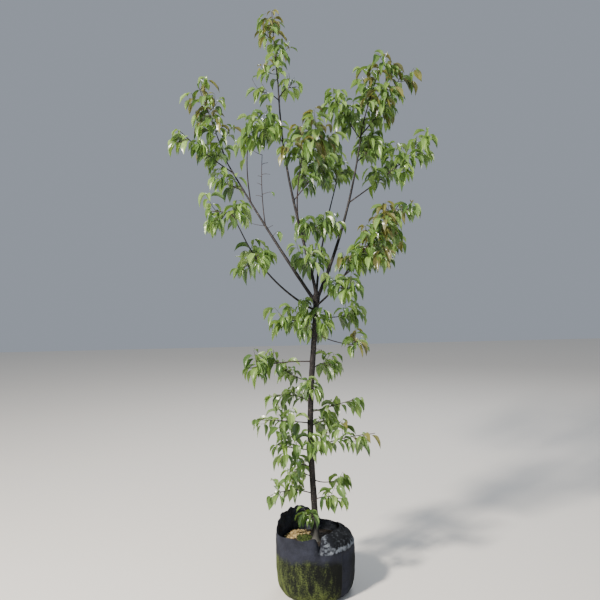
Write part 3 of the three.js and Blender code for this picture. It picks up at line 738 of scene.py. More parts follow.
def chains(name, lines, **attributes):
    """A mesh of separate chains of points, with the values that each point carries."""
    points = [point for line in lines for point in line]
    edges = []
    first = 0
    for line in lines:
        edges += [(first + i, first + i + 1) for i in range(len(line) - 1)]
        first += len(line)
    mesh = mesh_of(name, points, edges)
    for key, values in attributes.items():
        flat = np.array(values, dtype=np.float32)
        kind, field = ("FLOAT_VECTOR", "vector") if flat.ndim == 2 else ("FLOAT", "value")
        mesh.attributes.new(key, kind, "POINT").data.foreach_set(field, flat.ravel())
    return mesh


def shell(rings, start):
    """Points and faces of closed rings joined in order, with a fan over either end."""
    rings = np.asarray(rings)
    count, around = rings.shape[:2]
    points = rings.reshape(-1, 3)
    faces = []
    for i in range(count - 1):
        for k in range(around):
            low = start + i * around
            after = (k + 1) % around
            faces.append((low + k, low + after, low + around + after, low + around + k))
    for ring, turned in ((0, True), (count - 1, False)):
        middle = start + len(points)
        points = np.vstack([points, rings[ring].mean(axis=0)])
        low = start + ring * around
        for k in range(around):
            a, b = low + k, low + (k + 1) % around
            faces.append((b, a, middle) if turned else (a, b, middle))
    return points, faces


def joined(name, shells):
    """One smooth mesh in metres of several shells, each given as its rings in millimetres."""
    points = []
    faces = []
    for rings in shells:
        more, ring_faces = shell(rings, start=sum(len(p) for p in points))
        points.append(more)
        faces += ring_faces
    mesh = mesh_of(name, np.vstack(points) * MM, faces=faces)
    mesh.shade_smooth()
    return mesh


def noise_at(points, size, seed=0):
    """Smooth noise from about -1 to 1 at each point, with features of the given size."""
    flat = points.reshape(-1, 3) / size + seed * 17.3
    values = [noise.noise(Vector(point)) for point in flat]
    return np.array(values).reshape(points.shape[:-1])


# Trunk and boughs


def limb_rings(name, spacing, sides):
    """Rings along a limb with its relief, in millimetres."""
    limb = limbs[name]
    count = round(limb.length / spacing)
    shares = [i / count for i in range(count + 1)]
    line = [place_on(limb.line, share) for share in shares]
    centres = np.array([ring.point for ring in line])
    side = np.array([ring.side for ring in line])
    across = np.array([ring.across for ring in line])
    angles = np.linspace(0, 2 * math.pi, sides, endpoint=False)
    out = side[:, None] * np.cos(angles)[:, None] + across[:, None] * np.sin(angles)[:, None]
    radius = np.array([limb.radius_at(share) for share in shares])
    along = np.array(shares) * limb.length
    rough = ROUGHNESS[name == "trunk"]
    surface = centres[:, None] + out * radius[:, None, None]
    lift = noise_at(surface, rough.broad) * rough.broad_height * radius[:, None] / 9
    lift += noise_at(surface * np.array([1, 1, 0.35]), rough.fine, 1) * rough.fine_height
    if name == "trunk":
        foot = np.exp(-along / LOBE_HEIGHT)[:, None]
        lobes = np.cos(3 * angles + 0.8) + 0.6 * np.cos(5 * angles + 2.1)
        lift += foot * lobes * ROOT_LOBES
    else:
        flare = ROOT_FLARE * np.exp(-((along / FLARE_LENGTH) ** 2))
        lift += flare[:, None] * radius[:1, None] / 6
    for row in [*BOUGHS, *MASSES]:
        if row.on == name and row.at not in (1, TRUNK_TOP):
            tip = direction(row.heading[0], row.rise[0])
            base = np.array(root_of(row) + tip * limb.radius_at(0.5))
            near = np.linalg.norm(surface - base, axis=2)
            thick = row.radius[0] if isinstance(row, Bough) else 2
            lift += COLLAR_HEIGHT * thick / 3 * np.exp(-((near / (4 + thick * 1.5)) ** 2))
    surface = surface + out * lift[:, :, None]
    tip = radius[-1]
    for share in TIP_RINGS:
        ring = centres[-1] + np.array(line[-1].along) * tip * share
        ring = ring + out[-1] * (tip * math.sqrt(1 - share * share))
        surface = np.concatenate([surface, ring[None]])
    return surface


# The bag


def shape_share(headings, shape):
    away = np.abs((headings - shape.heading + 180) % 360 - 180)
    return np.exp(-((away / shape.width) ** shape.power))


def rim_change(headings, key):
    """How much the rim's height or lean differs at each heading."""
    shapes = [*RIM_SHAPES, NOTCH]
    return sum(getattr(shape, key) * shape_share(headings, shape) for shape in shapes)


def step_between(values, low, high):
    share = np.clip((values - low) / (high - low), 0, 1)
    return share * share * (3 - 2 * share)


def spokes(headings):
    """The level way outwards at each heading."""
    angles = np.radians(headings)
    return np.stack([np.cos(angles), np.sin(angles), np.zeros_like(angles)], axis=-1)


def bag_place(headings, radius, height):
    """Places on the bag's wall for the headings and the profile's radius and height."""
    angles = np.radians(headings)
    share = np.clip((height - WALL_FOLDS) / (BAG_RIM - WALL_FOLDS), 0, 1)
    change = rim_change(headings, "height") + 3 * np.sin(7 * angles) + 2 * np.sin(11 * angles + 1)
    creased = np.sin(19 * angles) + np.sin(29 * angles + 2)
    change = change + 2.2 * shape_share(headings, HOOD) * creased
    z = height + share * change
    r = radius - share**4 * rim_change(headings, "lean")
    pleat = pleat_share(headings) * step_between(height, 12, 40) * (1 - step_between(z, 150, 185))
    r = r - PLEAT_DEPTH * pleat
    foot = np.exp(-np.abs(height) / 18)
    gathers = np.sin(23 * angles + 1.5 * np.sin(3 * angles))
    r = r + foot * FOOT_PLEAT * gathers * (radius > UNDERSIDE_RINGS[-1])
    points = np.stack([r * np.cos(angles), r * np.sin(angles), z], axis=-1)
    loose = share * np.clip(change / 50, 0, 1) + share**2 * shape_share(headings, FOLDED_SIDE)
    waves = noise_at(points, 34) * (1.6 + 4 * loose) + noise_at(points, 13, 3) * (0.6 + 2.6 * loose)
    waves = waves * step_between(height, 1, 14)
    out = spokes(headings)
    # The folded side leans, so its crumples lift it as well as push it out
    out[..., 2] = 0.8 * share**2 * shape_share(headings, FOLDED_SIDE)
    return points + out * waves[..., None]


def pleat_share(headings):
    """Where the wall steps in at the right, behind a ridge that runs down the bag."""
    turned = (headings + 180) % 360 - 180
    return step_between(turned, *PLEAT_EDGE) * (1 - step_between(turned, *PLEAT_END))


def bag_rings():
    """Rings from the middle of the underside up the outside, over the rim and down inside."""
    corners = [Vector((BAG_RADIUS - inside, height, 0)) for inside, height in WALL]
    profile = [(point.x, point.y) for point in smooth(corners, WALL_PARTS)]
    headings = np.linspace(0, 360, BAG_COLUMNS, endpoint=False)
    rings = [radius * spokes(headings) for radius in UNDERSIDE_RINGS]
    outer = [
        bag_place(headings, np.full_like(headings, radius), np.full_like(headings, height))
        for radius, height in profile
    ]
    rings += outer
    inward = -spokes(headings)
    top = outer[-1] + inward * FELT / 2 + np.array([0, 0, FELT * 0.4])
    rings.append(top)
    for ring, (radius, height) in zip(outer[::-1], profile[::-1]):
        if height < SOIL_LEVEL - 16:
            break
        thick = mix(WALL_THICKNESS, FELT, float(step_between(np.array(height), 170, 200)))
        rings.append(ring + inward * thick)
    return rings


def inner_edge(headings):
    """Where the bag's inner wall stands at the soil's level."""
    radius = np.full_like(headings, BAG_RADIUS - 1.0)
    ring = bag_place(headings, radius, np.full_like(headings, float(SOIL_LEVEL)))
    return np.hypot(ring[:, 0], ring[:, 1]) - WALL_THICKNESS


# Soil, mulch and moss


def soil_height(x, y):
    """The soil's height: it sinks towards the wall and rises a little at the trunk's foot."""
    points = np.stack([x, y, np.zeros_like(x)], axis=-1)
    away = np.hypot(x, y) / SOIL_RADIUS
    height = SOIL_LEVEL + 1 - SOIL_EDGE_DROP * away**3
    for size, seed, lift in SOIL_HEAVES:
        height = height + noise_at(points, size, seed) * lift
    moss_away = np.hypot(x - MOSS_X, y - MOSS_Y)
    height = height + MOSS_LIFT * np.exp(-((moss_away / MOSS_RADIUS) ** 2))
    pile_away = np.hypot(x - PILE_X, y - PILE_Y)
    return height + PILE_HEIGHT * np.exp(-((pile_away / PILE_RADIUS) ** 2))


def soil_rings():
    headings = np.linspace(0, 360, 180, endpoint=False)
    edge = inner_edge(headings) + 1.2
    angles = np.radians(headings)
    rings = []
    for share in np.linspace(0.03, 1, 46):
        x, y = edge * share * np.cos(angles), edge * share * np.sin(angles)
        rings.append(np.stack([x, y, soil_height(x, y)], axis=-1))
    foot = rings[-1] * (0.9, 0.9, 1)
    foot[:, 2] = SOIL_LEVEL - 14
    return [foot, *rings[::-1]]


def scattered(count, seed, reach_to, centre=(0, 0)):
    """Places spread over the soil, in millimetres."""
    draw = np.random.default_rng(seed)
    away = reach_to * np.sqrt(draw.random(count))
    turn = draw.random(count) * 2 * math.pi
    x, y = centre[0] + away * np.cos(turn), centre[1] + away * np.sin(turn)
    inside = np.hypot(x, y) < inner_edge(np.degrees(np.arctan2(y, x))) - CHIP_ROOM
    x, y = x[inside], y[inside]
    return np.stack([x, y, soil_height(x, y)], axis=-1)


# Node helpers


def linear(code):
    """An sRGB colour such as "8a9a3c" as the linear colour that a node takes."""
    parts = [int(code[i : i + 2], 16) / 255 for i in (0, 2, 4)]
    return (*(p / 12.92 if p <= 0.04045 else ((p + 0.055) / 1.055) ** 2.4 for p in parts), 1)


def per(size):
    """The scale that gives a texture features of the given size in millimetres."""
    return 1000 / size


def add(tree, kind, inputs=None, stops=None, **settings):
    """A node with its settings, and its inputs linked or set. Gives its first output in use."""
    node = tree.nodes.new(kind)
    for key, value in settings.items():
        setattr(node, key, value)
    if stops:
        ramp = node.color_ramp.elements
        while len(ramp) < len(stops):
            ramp.new(0.5)
        for element, (place, code) in zip(ramp, stops):
            element.position = place
            element.color = linear(code)
    used = [socket for socket in node.inputs if socket.enabled]
    for key, value in (inputs or {}).items():
        socket = used[key] if isinstance(key, int) else next(s for s in used if s.name == key)
        if isinstance(value, bpy.types.NodeSocket):
            tree.links.new(value, socket)
        else:
            socket.default_value = value
    return next((socket for socket in node.outputs if socket.enabled), None)


def blank_material(name):
    made = bpy.data.materials.new(name)
    made.use_nodes = True
    made.node_tree.nodes.clear()
    return made, made.node_tree


# Materials


def bark(name, shaded, lit, foot):
    """Young bark: smooth and thin, brown with grey bloom, crossed by short pale lenticels."""
    made, tree = blank_material(name)
    place = add(tree, "ShaderNodeTexCoord").node.outputs["Object"]
    # Grey bloom in upright patches, 9 mm wide and three times as tall
    tall = add(tree, "ShaderNodeMapping", {"Vector": place, "Scale": (1, 1, 0.33)})
    bloom = add(tree, "ShaderNodeTexNoise", {"Vector": tall, "Scale": per(9), "Detail": 5})
    colour = add(tree, "ShaderNodeValToRGB", {"Fac": bloom}, stops=[(0.32, shaded), (0.68, lit)])
    # Lenticels 3 mm wide and 1 mm high, one to each 9 mm of bark
    flat = add(tree, "ShaderNodeMapping", {"Vector": place, "Scale": (1, 1, 2.8)})
    cells = add(tree, "ShaderNodeTexVoronoi", {"Vector": flat, "Scale": per(9)})
    lenticels = add(
        tree,
        "ShaderNodeMapRange",
        {"Value": cells, "From Min": 0.1, "From Max": 0.2, "To Min": 1, "To Max": 0},
    )
    pale = add(tree, "ShaderNodeMath", {0: lenticels, 1: 0.55}, operation="MULTIPLY")
    colour = add(
        tree,
        "ShaderNodeMix",
        {"Factor": pale, "A": colour, "B": linear("b3a596")},
        data_type="RGBA",
    )
    # The lowest 100 mm over the soil is greyer and dusty
    height = add(tree, "ShaderNodeSeparateXYZ", {"Vector": place}).node.outputs["Z"]
    dust = add(
        tree,
        "ShaderNodeMapRange",
        {"Value": height, "From Min": 0.19, "From Max": 0.29, "To Min": 0.8, "To Max": 0},
    )
    colour = add(
        tree, "ShaderNodeMix", {"Factor": dust, "A": colour, "B": linear(foot)}, data_type="RGBA"
    )
    # Fine cracks 1.2 mm apart stand under the lenticels
    cracks = add(tree, "ShaderNodeTexNoise", {"Vector": tall, "Scale": per(1.2), "Detail": 3})
    height = add(tree, "ShaderNodeMath", {0: lenticels, 1: cracks}, operation="ADD")
    bump = add(tree, "ShaderNodeBump", {"Strength": 0.6, "Distance": 0.0004, "Height": height})
    skin = {"Base Color": colour, "Roughness": 0.66, "Specular IOR Level": 0.3, "Normal": bump}
    add(tree, "ShaderNodeOutputMaterial", {0: add(tree, "ShaderNodeBsdfPrincipled", skin)})
    return made


def leaf_skin(name, shaded, lit, behind):
    """Living leaf: thin, soft green with a satin upper side, glowing where light is behind."""
    made, tree = blank_material(name)
    along, across, phase = (
        add(tree, "ShaderNodeAttribute", attribute_name=key).node.outputs["Fac"]
        for key in ("along", "across", "phase")
    )
    place = add(tree, "ShaderNodeTexCoord").node.outputs["Object"]
    # Blotches 14 mm wide, and each leaf is a little lighter or darker than the next
    blotch = add(tree, "ShaderNodeTexNoise", {"Vector": place, "Scale": per(14), "Detail": 2})
    tone = add(tree, "ShaderNodeMix", {"Factor": 0.6, "A": blotch, "B": phase})
    colour = add(tree, "ShaderNodeValToRGB", {"Fac": tone}, stops=[(0.15, shaded), (0.85, lit)])
    # Eight pairs of side veins slant to the tip, and the midrib is a tenth of the width
    width = add(tree, "ShaderNodeMath", {0: across}, operation="ABSOLUTE")
    slant = add(tree, "ShaderNodeMath", {0: width, 1: -1.6, 2: 0}, operation="MULTIPLY_ADD")
    rows = add(tree, "ShaderNodeMath", {0: along, 1: 8, 2: slant}, operation="MULTIPLY_ADD")
    wave = add(tree, "ShaderNodeMath", {0: rows, 1: 2 * math.pi}, operation="MULTIPLY")
    veins = add(
        tree,
        "ShaderNodeMapRange",
        {
            "Value": add(tree, "ShaderNodeMath", {0: wave}, operation="SINE"),
            "From Min": 0.75,
            "From Max": 1,
        },
    )
    rib = add(
        tree,
        "ShaderNodeMapRange",
        {"Value": width, "From Min": 0.04, "From Max": 0.12, "To Min": 1, "To Max": 0},
    )
    lines = add(tree, "ShaderNodeMath", {0: veins, 1: 0.55, 2: rib}, operation="MULTIPLY_ADD")
    pale = add(tree, "ShaderNodeMath", {0: lines, 1: 0.5}, operation="MULTIPLY", use_clamp=True)
    colour = add(
        tree, "ShaderNodeMix", {"Factor": pale, "A": colour, "B": linear(behind)}, data_type="RGBA"
    )
    bump = add(
        tree,
        "ShaderNodeBump",
        {"Strength": 0.7, "Distance": 0.0008, "Height": lines},
        invert=True,
    )
    top = add(
        tree,
        "ShaderNodeBsdfPrincipled",
        {
            "Base Color": colour,
            "Roughness": 0.4,
            "Normal": bump,
            "Coat Weight": 0.65,
            "Coat Roughness": 0.23,
        },
    )
    glow = add(tree, "ShaderNodeBsdfTranslucent", {"Color": linear(behind)})
    both = add(tree, "ShaderNodeMixShader", {0: 0.28, 1: top, 2: glow})
    add(tree, "ShaderNodeOutputMaterial", {0: both})
    return made


def felt(name):
    """Non-woven felt: black plastic fibre turned grey by sun, with dust above and algae below, painted
    shade on the side that leans in, and painted light and shade across the algae.
    """
    made, tree = blank_material(name)
    place = add(tree, "ShaderNodeTexCoord").node.outputs["Object"]
    dust, bare, lean = (
        add(tree, "ShaderNodeAttribute", attribute_name=key).node.outputs["Fac"]
        for key in ("dust", "bare", "lean")
    )
    # Faded patches 45 mm across, and fibre that gathers in specks 2.5 mm across
    patches = add(tree, "ShaderNodeTexNoise", {"Vector": place, "Scale": per(45), "Detail": 6})
    specks = add(tree, "ShaderNodeTexNoise", {"Vector": place, "Scale": per(2.5), "Detail": 3})
    tone = add(tree, "ShaderNodeMix", {"Factor": 0.35, "A": patches, "B": specks})
    faded = [(0.36, "1a1c24"), (0.62, "2d303c")]
    colour = add(tree, "ShaderNodeValToRGB", {"Fac": tone}, stops=faded)
    # Painted shade: the side that leans in is painted near black, for the shade that lies on it
    layer = {"Factor": lean, "A": colour, "B": linear("0b0e13")}
    colour = add(tree, "ShaderNodeMix", layer, data_type="RGBA")
    parts = add(tree, "ShaderNodeSeparateXYZ", {"Vector": place}).node.outputs
    # Algae stand up to 150 mm high, to a line that waves by 20 mm over each 60 mm
    edge = add(tree, "ShaderNodeTexNoise", {"Vector": place, "Scale": per(60), "Detail": 3})
    edge = add(tree, "ShaderNodeMath", {0: edge, 1: 0.05, 2: parts["Z"]}, operation="MULTIPLY_ADD")
    low = add(tree, "ShaderNodeMapRange", {"Value": edge, "From Min": 0.182, "From Max": 0.158})
    # Painted light and shade: the algae are painted greener and lighter at the left side, where the
    # light falls, and darker at the right, in shade. They are also greenest at the foot
    left = {"Value": parts["X"], "From Min": -0.09, "From Max": -0.135, "To Max": 0.11}
    left = add(tree, "ShaderNodeMapRange", left)
    right = {"Value": parts["X"], "From Min": 0.0, "From Max": 0.09, "To Max": -0.11}
    right = add(tree, "ShaderNodeMapRange", right)
    foot = {"Value": parts["Z"], "From Min": 0.07, "From Max": 0.0, "To Max": 0.1}
    foot = add(tree, "ShaderNodeMapRange", foot)
    # Streaks 13 mm wide run down the wall, broken into tufts 4 mm across
    tall = add(tree, "ShaderNodeMapping", {"Vector": place, "Scale": (1, 1, 0.22)})
    streaks = add(tree, "ShaderNodeTexNoise", {"Vector": tall, "Scale": per(13), "Detail": 5})
    tufts = add(tree, "ShaderNodeTexNoise", {"Vector": place, "Scale": per(4), "Detail": 5})
    grown = add(tree, "ShaderNodeMix", {"Factor": 0.5, "A": streaks, "B": tufts})
    grown = add(tree, "ShaderNodeMix", {"Factor": 0.18, "A": grown, "B": patches})
    for more in (left, right, foot):
        grown = add(tree, "ShaderNodeMath", {0: grown, 1: more}, operation="ADD")
    greens = [(0.44, "0d100e"), (0.49, "1c2116"), (0.54, "30381f"), (0.63, "4f5a2f")]
    algae = add(tree, "ShaderNodeValToRGB", {"Fac": grown}, stops=greens)
    clean = add(tree, "ShaderNodeMath", {0: 1, 1: bare}, operation="SUBTRACT")
    low = add(tree, "ShaderNodeMath", {0: low, 1: clean}, operation="MULTIPLY")
    layer = {"Factor": low, "A": colour, "B": algae}
    colour = add(tree, "ShaderNodeMix", layer, data_type="RGBA")
    # Pale dust lies on the side that leans in, in patches 11 mm across
    spots = add(tree, "ShaderNodeTexNoise", {"Vector": place, "Scale": per(11), "Detail": 6})
    spots = add(tree, "ShaderNodeMath", {0: dust, 1: 0.24, 2: spots}, operation="MULTIPLY_ADD")
    dusty = add(tree, "ShaderNodeMapRange", {"Value": spots, "From Min": 0.6, "From Max": 0.8})
    dusty = add(tree, "ShaderNodeMath", {0: dusty, 1: dust}, operation="MULTIPLY")
    layer = {"Factor": dusty, "A": colour, "B": linear("747b85")}
    colour = add(tree, "ShaderNodeMix", layer, data_type="RGBA")
    fibre = add(tree, "ShaderNodeTexNoise", {"Vector": place, "Scale": per(0.9), "Detail": 4})
    bumps = add(tree, "ShaderNodeMath", {0: grown, 1: fibre}, operation="ADD")
    # Soft creases as wide as the patches lie under the fibre
    bump = add(tree, "ShaderNodeBump", {"Strength": 0.5, "Distance": 0.012, "Height": patches})
    relief = {"Strength": 0.7, "Distance": 0.0008, "Height": bumps, "Normal": bump}
    bump = add(tree, "ShaderNodeBump", relief)
    skin = {"Base Color": colour, "Roughness": 0.92, "Specular IOR Level": 0.2, "Normal": bump}
    add(tree, "ShaderNodeOutputMaterial", {0: add(tree, "ShaderNodeBsdfPrincipled", skin)})
    return made


def loose(name, stops, size, key=None, rough=0.9, relief=0.001):
    """Dry mulch, potting mix or moss: matt crumbs, each of its own colour."""
    made, tree = blank_material(name)
    place = add(tree, "ShaderNodeTexCoord").node.outputs["Object"]
    crumbs = add(tree, "ShaderNodeTexNoise", {"Vector": place, "Scale": per(size), "Detail": 6})
    tone = crumbs
    if key:
        own = add(tree, "ShaderNodeAttribute", attribute_name=key).node.outputs["Fac"]
        tone = add(tree, "ShaderNodeMix", {"Factor": 0.65, "A": crumbs, "B": own})
    colour = add(tree, "ShaderNodeValToRGB", {"Fac": tone}, stops=stops)
    bump = add(tree, "ShaderNodeBump", {"Strength": 0.8, "Distance": relief, "Height": crumbs})
    skin = {"Base Color": colour, "Roughness": rough, "Normal": bump}
    add(tree, "ShaderNodeOutputMaterial", {0: add(tree, "ShaderNodeBsdfPrincipled", skin)})
    return made


# Geometry Nodes for what repeats


def empty_tree(name, inputs):
    """A tree that takes a mesh, a material and the named inputs, with its input sockets."""
    tree = bpy.data.node_groups.new(name, "GeometryNodeTree")
    tree.interface.new_socket("Geometry", in_out="OUTPUT", socket_type="NodeSocketGeometry")
    kinds = {"Geometry": "Geometry", "Material": "Material", **inputs}
    for key, kind in kinds.items():
        tree.interface.new_socket(key, in_out="INPUT", socket_type="NodeSocket" + kind)
    return tree, tree.nodes.new("NodeGroupInput").outputs


def close_tree(tree, geometry, material):
    real = add(tree, "GeometryNodeRealizeInstances", {"Geometry": geometry})
    dressed = add(tree, "GeometryNodeSetMaterial", {"Geometry": real, "Material": material})
    add(tree, "NodeGroupOutput", {0: dressed})
    return tree


def blade_tree():
    """Leaves: a cross-row is carried along each midrib, folded to a V and waved at its edge."""
    tree, given = empty_tree("leaf blades", {"Points across": "Int", "Wave": "Float"})
    read = {
        key: add(tree, "GeometryNodeInputNamedAttribute", {"Name": key}, data_type=kind)
        for key, kind in {
            "side": "FLOAT_VECTOR",
            "face": "FLOAT_VECTOR",
            "half_width": "FLOAT",
            "fold": "FLOAT",
            "along": "FLOAT",
            "phase": "FLOAT",
            "across": "FLOAT",
        }.items()
    }
    ribs = add(tree, "GeometryNodeMeshToCurve", {"Mesh": given["Geometry"]})
    ribs = add(tree, "GeometryNodeSetCurveNormal", {"Curve": ribs, "Normal": read["side"]}, mode="FREE")
    row = add(tree, "GeometryNodeCurvePrimitiveLine", {"Start": (-1, 0, 0), "End": (1, 0, 0)})
    row = add(tree, "GeometryNodeResampleCurve", {"Curve": row, "Count": given["Points across"]})
    x = add(tree, "ShaderNodeSeparateXYZ", {0: add(tree, "GeometryNodeInputPosition")})
    row = add(
        tree,
        "GeometryNodeStoreNamedAttribute",
        {"Geometry": row, "Name": "across", "Value": x},
        data_type="FLOAT",
        domain="POINT",
    )
    blades = add(
        tree,
        "GeometryNodeCurveToMesh",
        {"Curve": ribs, "Profile Curve": row, "Scale": read["half_width"]},
    )
    away = add(tree, "ShaderNodeMath", {0: read["across"]}, operation="ABSOLUTE")
    lift = add(tree, "ShaderNodeMath", {0: away, 1: read["fold"]}, operation="MULTIPLY")
    turn = add(
        tree, "ShaderNodeMath", {0: read["phase"], 1: 6.3, 2: read["across"]}, operation="MULTIPLY_ADD"
    )
    swing = add(tree, "ShaderNodeMath", {0: read["along"], 1: 15, 2: turn}, operation="MULTIPLY_ADD")
    swing = add(tree, "ShaderNodeMath", {0: swing}, operation="SINE")
    edge = add(tree, "ShaderNodeMath", {0: away, 1: given["Wave"]}, operation="MULTIPLY")
    lift = add(tree, "ShaderNodeMath", {0: swing, 1: edge, 2: lift}, operation="MULTIPLY_ADD")
    lift = add(tree, "ShaderNodeMath", {0: lift, 1: read["half_width"]}, operation="MULTIPLY")
    offset = add(
        tree,
        "ShaderNodeVectorMath",
        {"Vector": read["face"], "Scale": lift},
        operation="SCALE",
    )
    blades = add(tree, "GeometryNodeSetPosition", {"Geometry": blades, "Offset": offset})
    smooth_blades = add(tree, "GeometryNodeSetShadeSmooth", {"Geometry": blades})
    return close_tree(tree, smooth_blades, given["Material"])


def tube_tree():
    """Stems and twigs: a round section is carried along each chain at its own radius."""
    tree, given = empty_tree("twig tubes", {"Sides": "Int"})
    radius = add(tree, "GeometryNodeInputNamedAttribute", {"Name": "radius"}, data_type="FLOAT")
    lines = add(tree, "GeometryNodeMeshToCurve", {"Mesh": given["Geometry"]})
    ring = add(tree, "GeometryNodeCurvePrimitiveCircle", {"Resolution": given["Sides"], "Radius": 1})
    tubes = add(
        tree,
        "GeometryNodeCurveToMesh",
        {"Curve": lines, "Profile Curve": ring, "Scale": radius, "Fill Caps": True},
    )
    tubes = add(tree, "GeometryNodeSetShadeSmooth", {"Geometry": tubes})
    return close_tree(tree, tubes, given["Material"])


def scatter_tree(name, shape, tilt):
    """One small shape set at each point, turned along the point's way and sized at random."""
    inputs = {"Smallest": "Vector", "Largest": "Vector", "Warp": "Float", "Seed": "Int"}
    tree, given = empty_tree(name, inputs)
    form = add(tree, *shape)
    size = add(
        tree,
        "FunctionNodeRandomValue",
        {"Min": given["Smallest"], "Max": given["Largest"], "Seed": given["Seed"]},
        data_type="FLOAT_VECTOR",
    )
    spin = add(
        tree,
        "FunctionNodeRandomValue",
        {"Min": (-tilt, -tilt, -3.14), "Max": (tilt, tilt, 3.14), "Seed": given["Seed"]},
        data_type="FLOAT_VECTOR",
    )
    way = add(tree, "GeometryNodeInputNamedAttribute", {"Name": "way"}, data_type="FLOAT_VECTOR")
    turned = add(tree, "FunctionNodeAlignRotationToVector", {"Rotation": spin, "Vector": way}, axis="Z")
    placed = add(
        tree,
        "GeometryNodeInstanceOnPoints",
        {
            "Points": given["Geometry"],
            "Instance": form,
            "Rotation": turned if tilt == 0 else spin,
            "Scale": size,
        },
    )
    real = add(tree, "GeometryNodeRealizeInstances", {"Geometry": placed})
    # Each copy is warped by its place, so that no two are alike
    warp = add(tree, "ShaderNodeTexNoise", {"Scale": per(7), "Detail": 1}).node.outputs["Color"]
    centred = add(tree, "ShaderNodeVectorMath", {0: warp, 1: (0.5, 0.5, 0.5)}, operation="SUBTRACT")
    offset = add(
        tree,
        "ShaderNodeVectorMath",
        {"Vector": centred, "Scale": given["Warp"]},
        operation="SCALE",
    )
    real = add(tree, "GeometryNodeSetPosition", {"Geometry": real, "Offset": offset})
    return close_tree(tree, real, given["Material"])


def evaluated(name, mesh, tree, **values):
    """The plain mesh that a tree makes of a guide, which is then removed."""
    guide = bpy.data.objects.new(name + " guide", mesh)
    bpy.context.scene.collection.objects.link(guide)
    modifier = guide.modifiers.new("Nodes", "NODES")
    modifier.node_group = tree
    for item in tree.interface.items_tree:
        if item.in_out == "INPUT" and item.name in values:
            modifier[item.identifier] = values[item.name]
    graph = bpy.context.evaluated_depsgraph_get()
    made = bpy.data.meshes.new_from_object(guide.evaluated_get(graph))
    made.name = name
    bpy.data.objects.remove(guide)
    return made


def strewn(name, guide, material, shape, tilt, sizes, warp, seed):
    """The plain mesh of one small shape at each point of a guide, between two sizes."""
    tree = scatter_tree(name, shape, tilt)
    given = {"Smallest": sizes[0], "Largest": sizes[1], "Warp": warp, "Seed": seed}
    return evaluated(name, guide, tree, Material=material, **given)


def dress(name, mesh, nodes, material=None):
    """A finished piece of the part, riding the root in place of the given nodes."""
    piece = bpy.data.objects.new(name, mesh)
    bpy.context.scene.collection.objects.link(piece)
    if material:
        mesh.materials.clear()
        mesh.materials.append(material)
    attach(piece, "root")
    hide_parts(*nodes)
    return piece


# The object


reach_low = Vector(cad_low) - Vector((0.004, 0.004, 0))
reach_high = Vector(cad_high) + Vector((0.004, 0.004, 0.004))

grow_limbs()
shoots, leaf_sets, buds = grow_foliage()
grow_spurs(shoots, leaf_sets, buds)
foliage_nodes = ["foliage_" + mass.name for mass in MASSES]

# Partly painted shade: the old bark is darker than its own purple-brown, for the shade that falls on
# trunk and boughs under the leaves
shaded_old_bark = bark("shaded_old_bark", "141213", "2a2628", "525351")
thin_bark = bark("thin_bark", "1f191a", "3f3432", "5d5d5b")
trunk_mesh = joined("trunk_bark", [limb_rings("trunk", *TRUNK_GRID)])
dress("trunk_bark", trunk_mesh, ["trunk"], shaded_old_bark)
for slot, material in (("bark", shaded_old_bark), ("young_bark", thin_bark)):
    names = [b.name for b in BOUGHS if (b.name in YOUNG_BOUGHS) == (slot == "young_bark")]
    mesh = joined(slot + "_boughs", [limb_rings(name, *BOUGH_GRID) for name in names])
    dress(slot + "_boughs", mesh, names, material)

tubes = tube_tree()
lines = [[ring.point * MM for ring in shoot.line] for shoot in shoots]
radii = [
    mix(*shoot.radius, i / (len(shoot.line) - 1)) * MM
    for shoot in shoots
    for i in range(len(shoot.line))
]
mesh = evaluated("shoots", chains("shoots", lines, radius=radii), tubes, Material=thin_bark, Sides=7)
dress("shoots", mesh, foliage_nodes)

blades = blade_tree()
for kind, rows_of in leaf_sets.items():
    material = leaf_skin("leaf_" + kind, *LEAF_KINDS[kind])
    lines = [[row[0] for row in rows] for rows in rows_of]
    keys = ("side", "face", "half_width", "along", "phase", "fold")
    values = {key: [row[i + 1] for rows in rows_of for row in rows] for i, key in enumerate(keys)}
    guide = chains("leaves_" + kind, lines, **values)
    given = {"Material": material, "Points across": 5, "Wave": 0.1}
    mesh = evaluated("leaves_" + kind, guide, blades, **given)
    dress("leaves_" + kind, mesh, foliage_nodes)

ball = ("GeometryNodeMeshIcoSphere", {"Radius": 1, "Subdivisions": 1})
bud_guide = chains("buds", [[place] for place, way in buds], way=[way for place, way in buds])
bud_sizes = ((0.0008, 0.0008, 0.0014), (0.0012, 0.0012, 0.0022))
mesh = strewn("buds", bud_guide, thin_bark, ball, 0, bud_sizes, 0.0, 0)
mesh.shade_smooth()
dress("buds", mesh, foliage_nodes)

bag_mesh = joined("bag_felt", [bag_rings()])
bag_mesh.materials.append(felt("faded_felt"))
inner_felt = [(0.35, "14171d"), (0.65, "3a404c")]
bag_mesh.materials.append(loose("dark_felt", inner_felt, 26, rough=0.8, relief=0.02))
outside = (len(UNDERSIDE_RINGS) + (len(WALL) - 1) * WALL_PARTS + 1) * BAG_COLUMNS
inside = [int(min(face.vertices) >= outside) for face in bag_mesh.polygons]
bag_mesh.polygons.foreach_set("material_index", inside)
spots = np.array([vertex.co for vertex in bag_mesh.vertices])
headings = np.degrees(np.arctan2(spots[:, 1], spots[:, 0]))
folded = shape_share(headings, FOLDED_SIDE) * step_between(spots[:, 2], *DUST_FROM)
dusted = folded * (1 - 0.75 * step_between(spots[:, 2], *DUST_UP_TO))
corner = shape_share(headings, DUSTY_CORNER) * folded
dusted = np.maximum(dusted, corner)
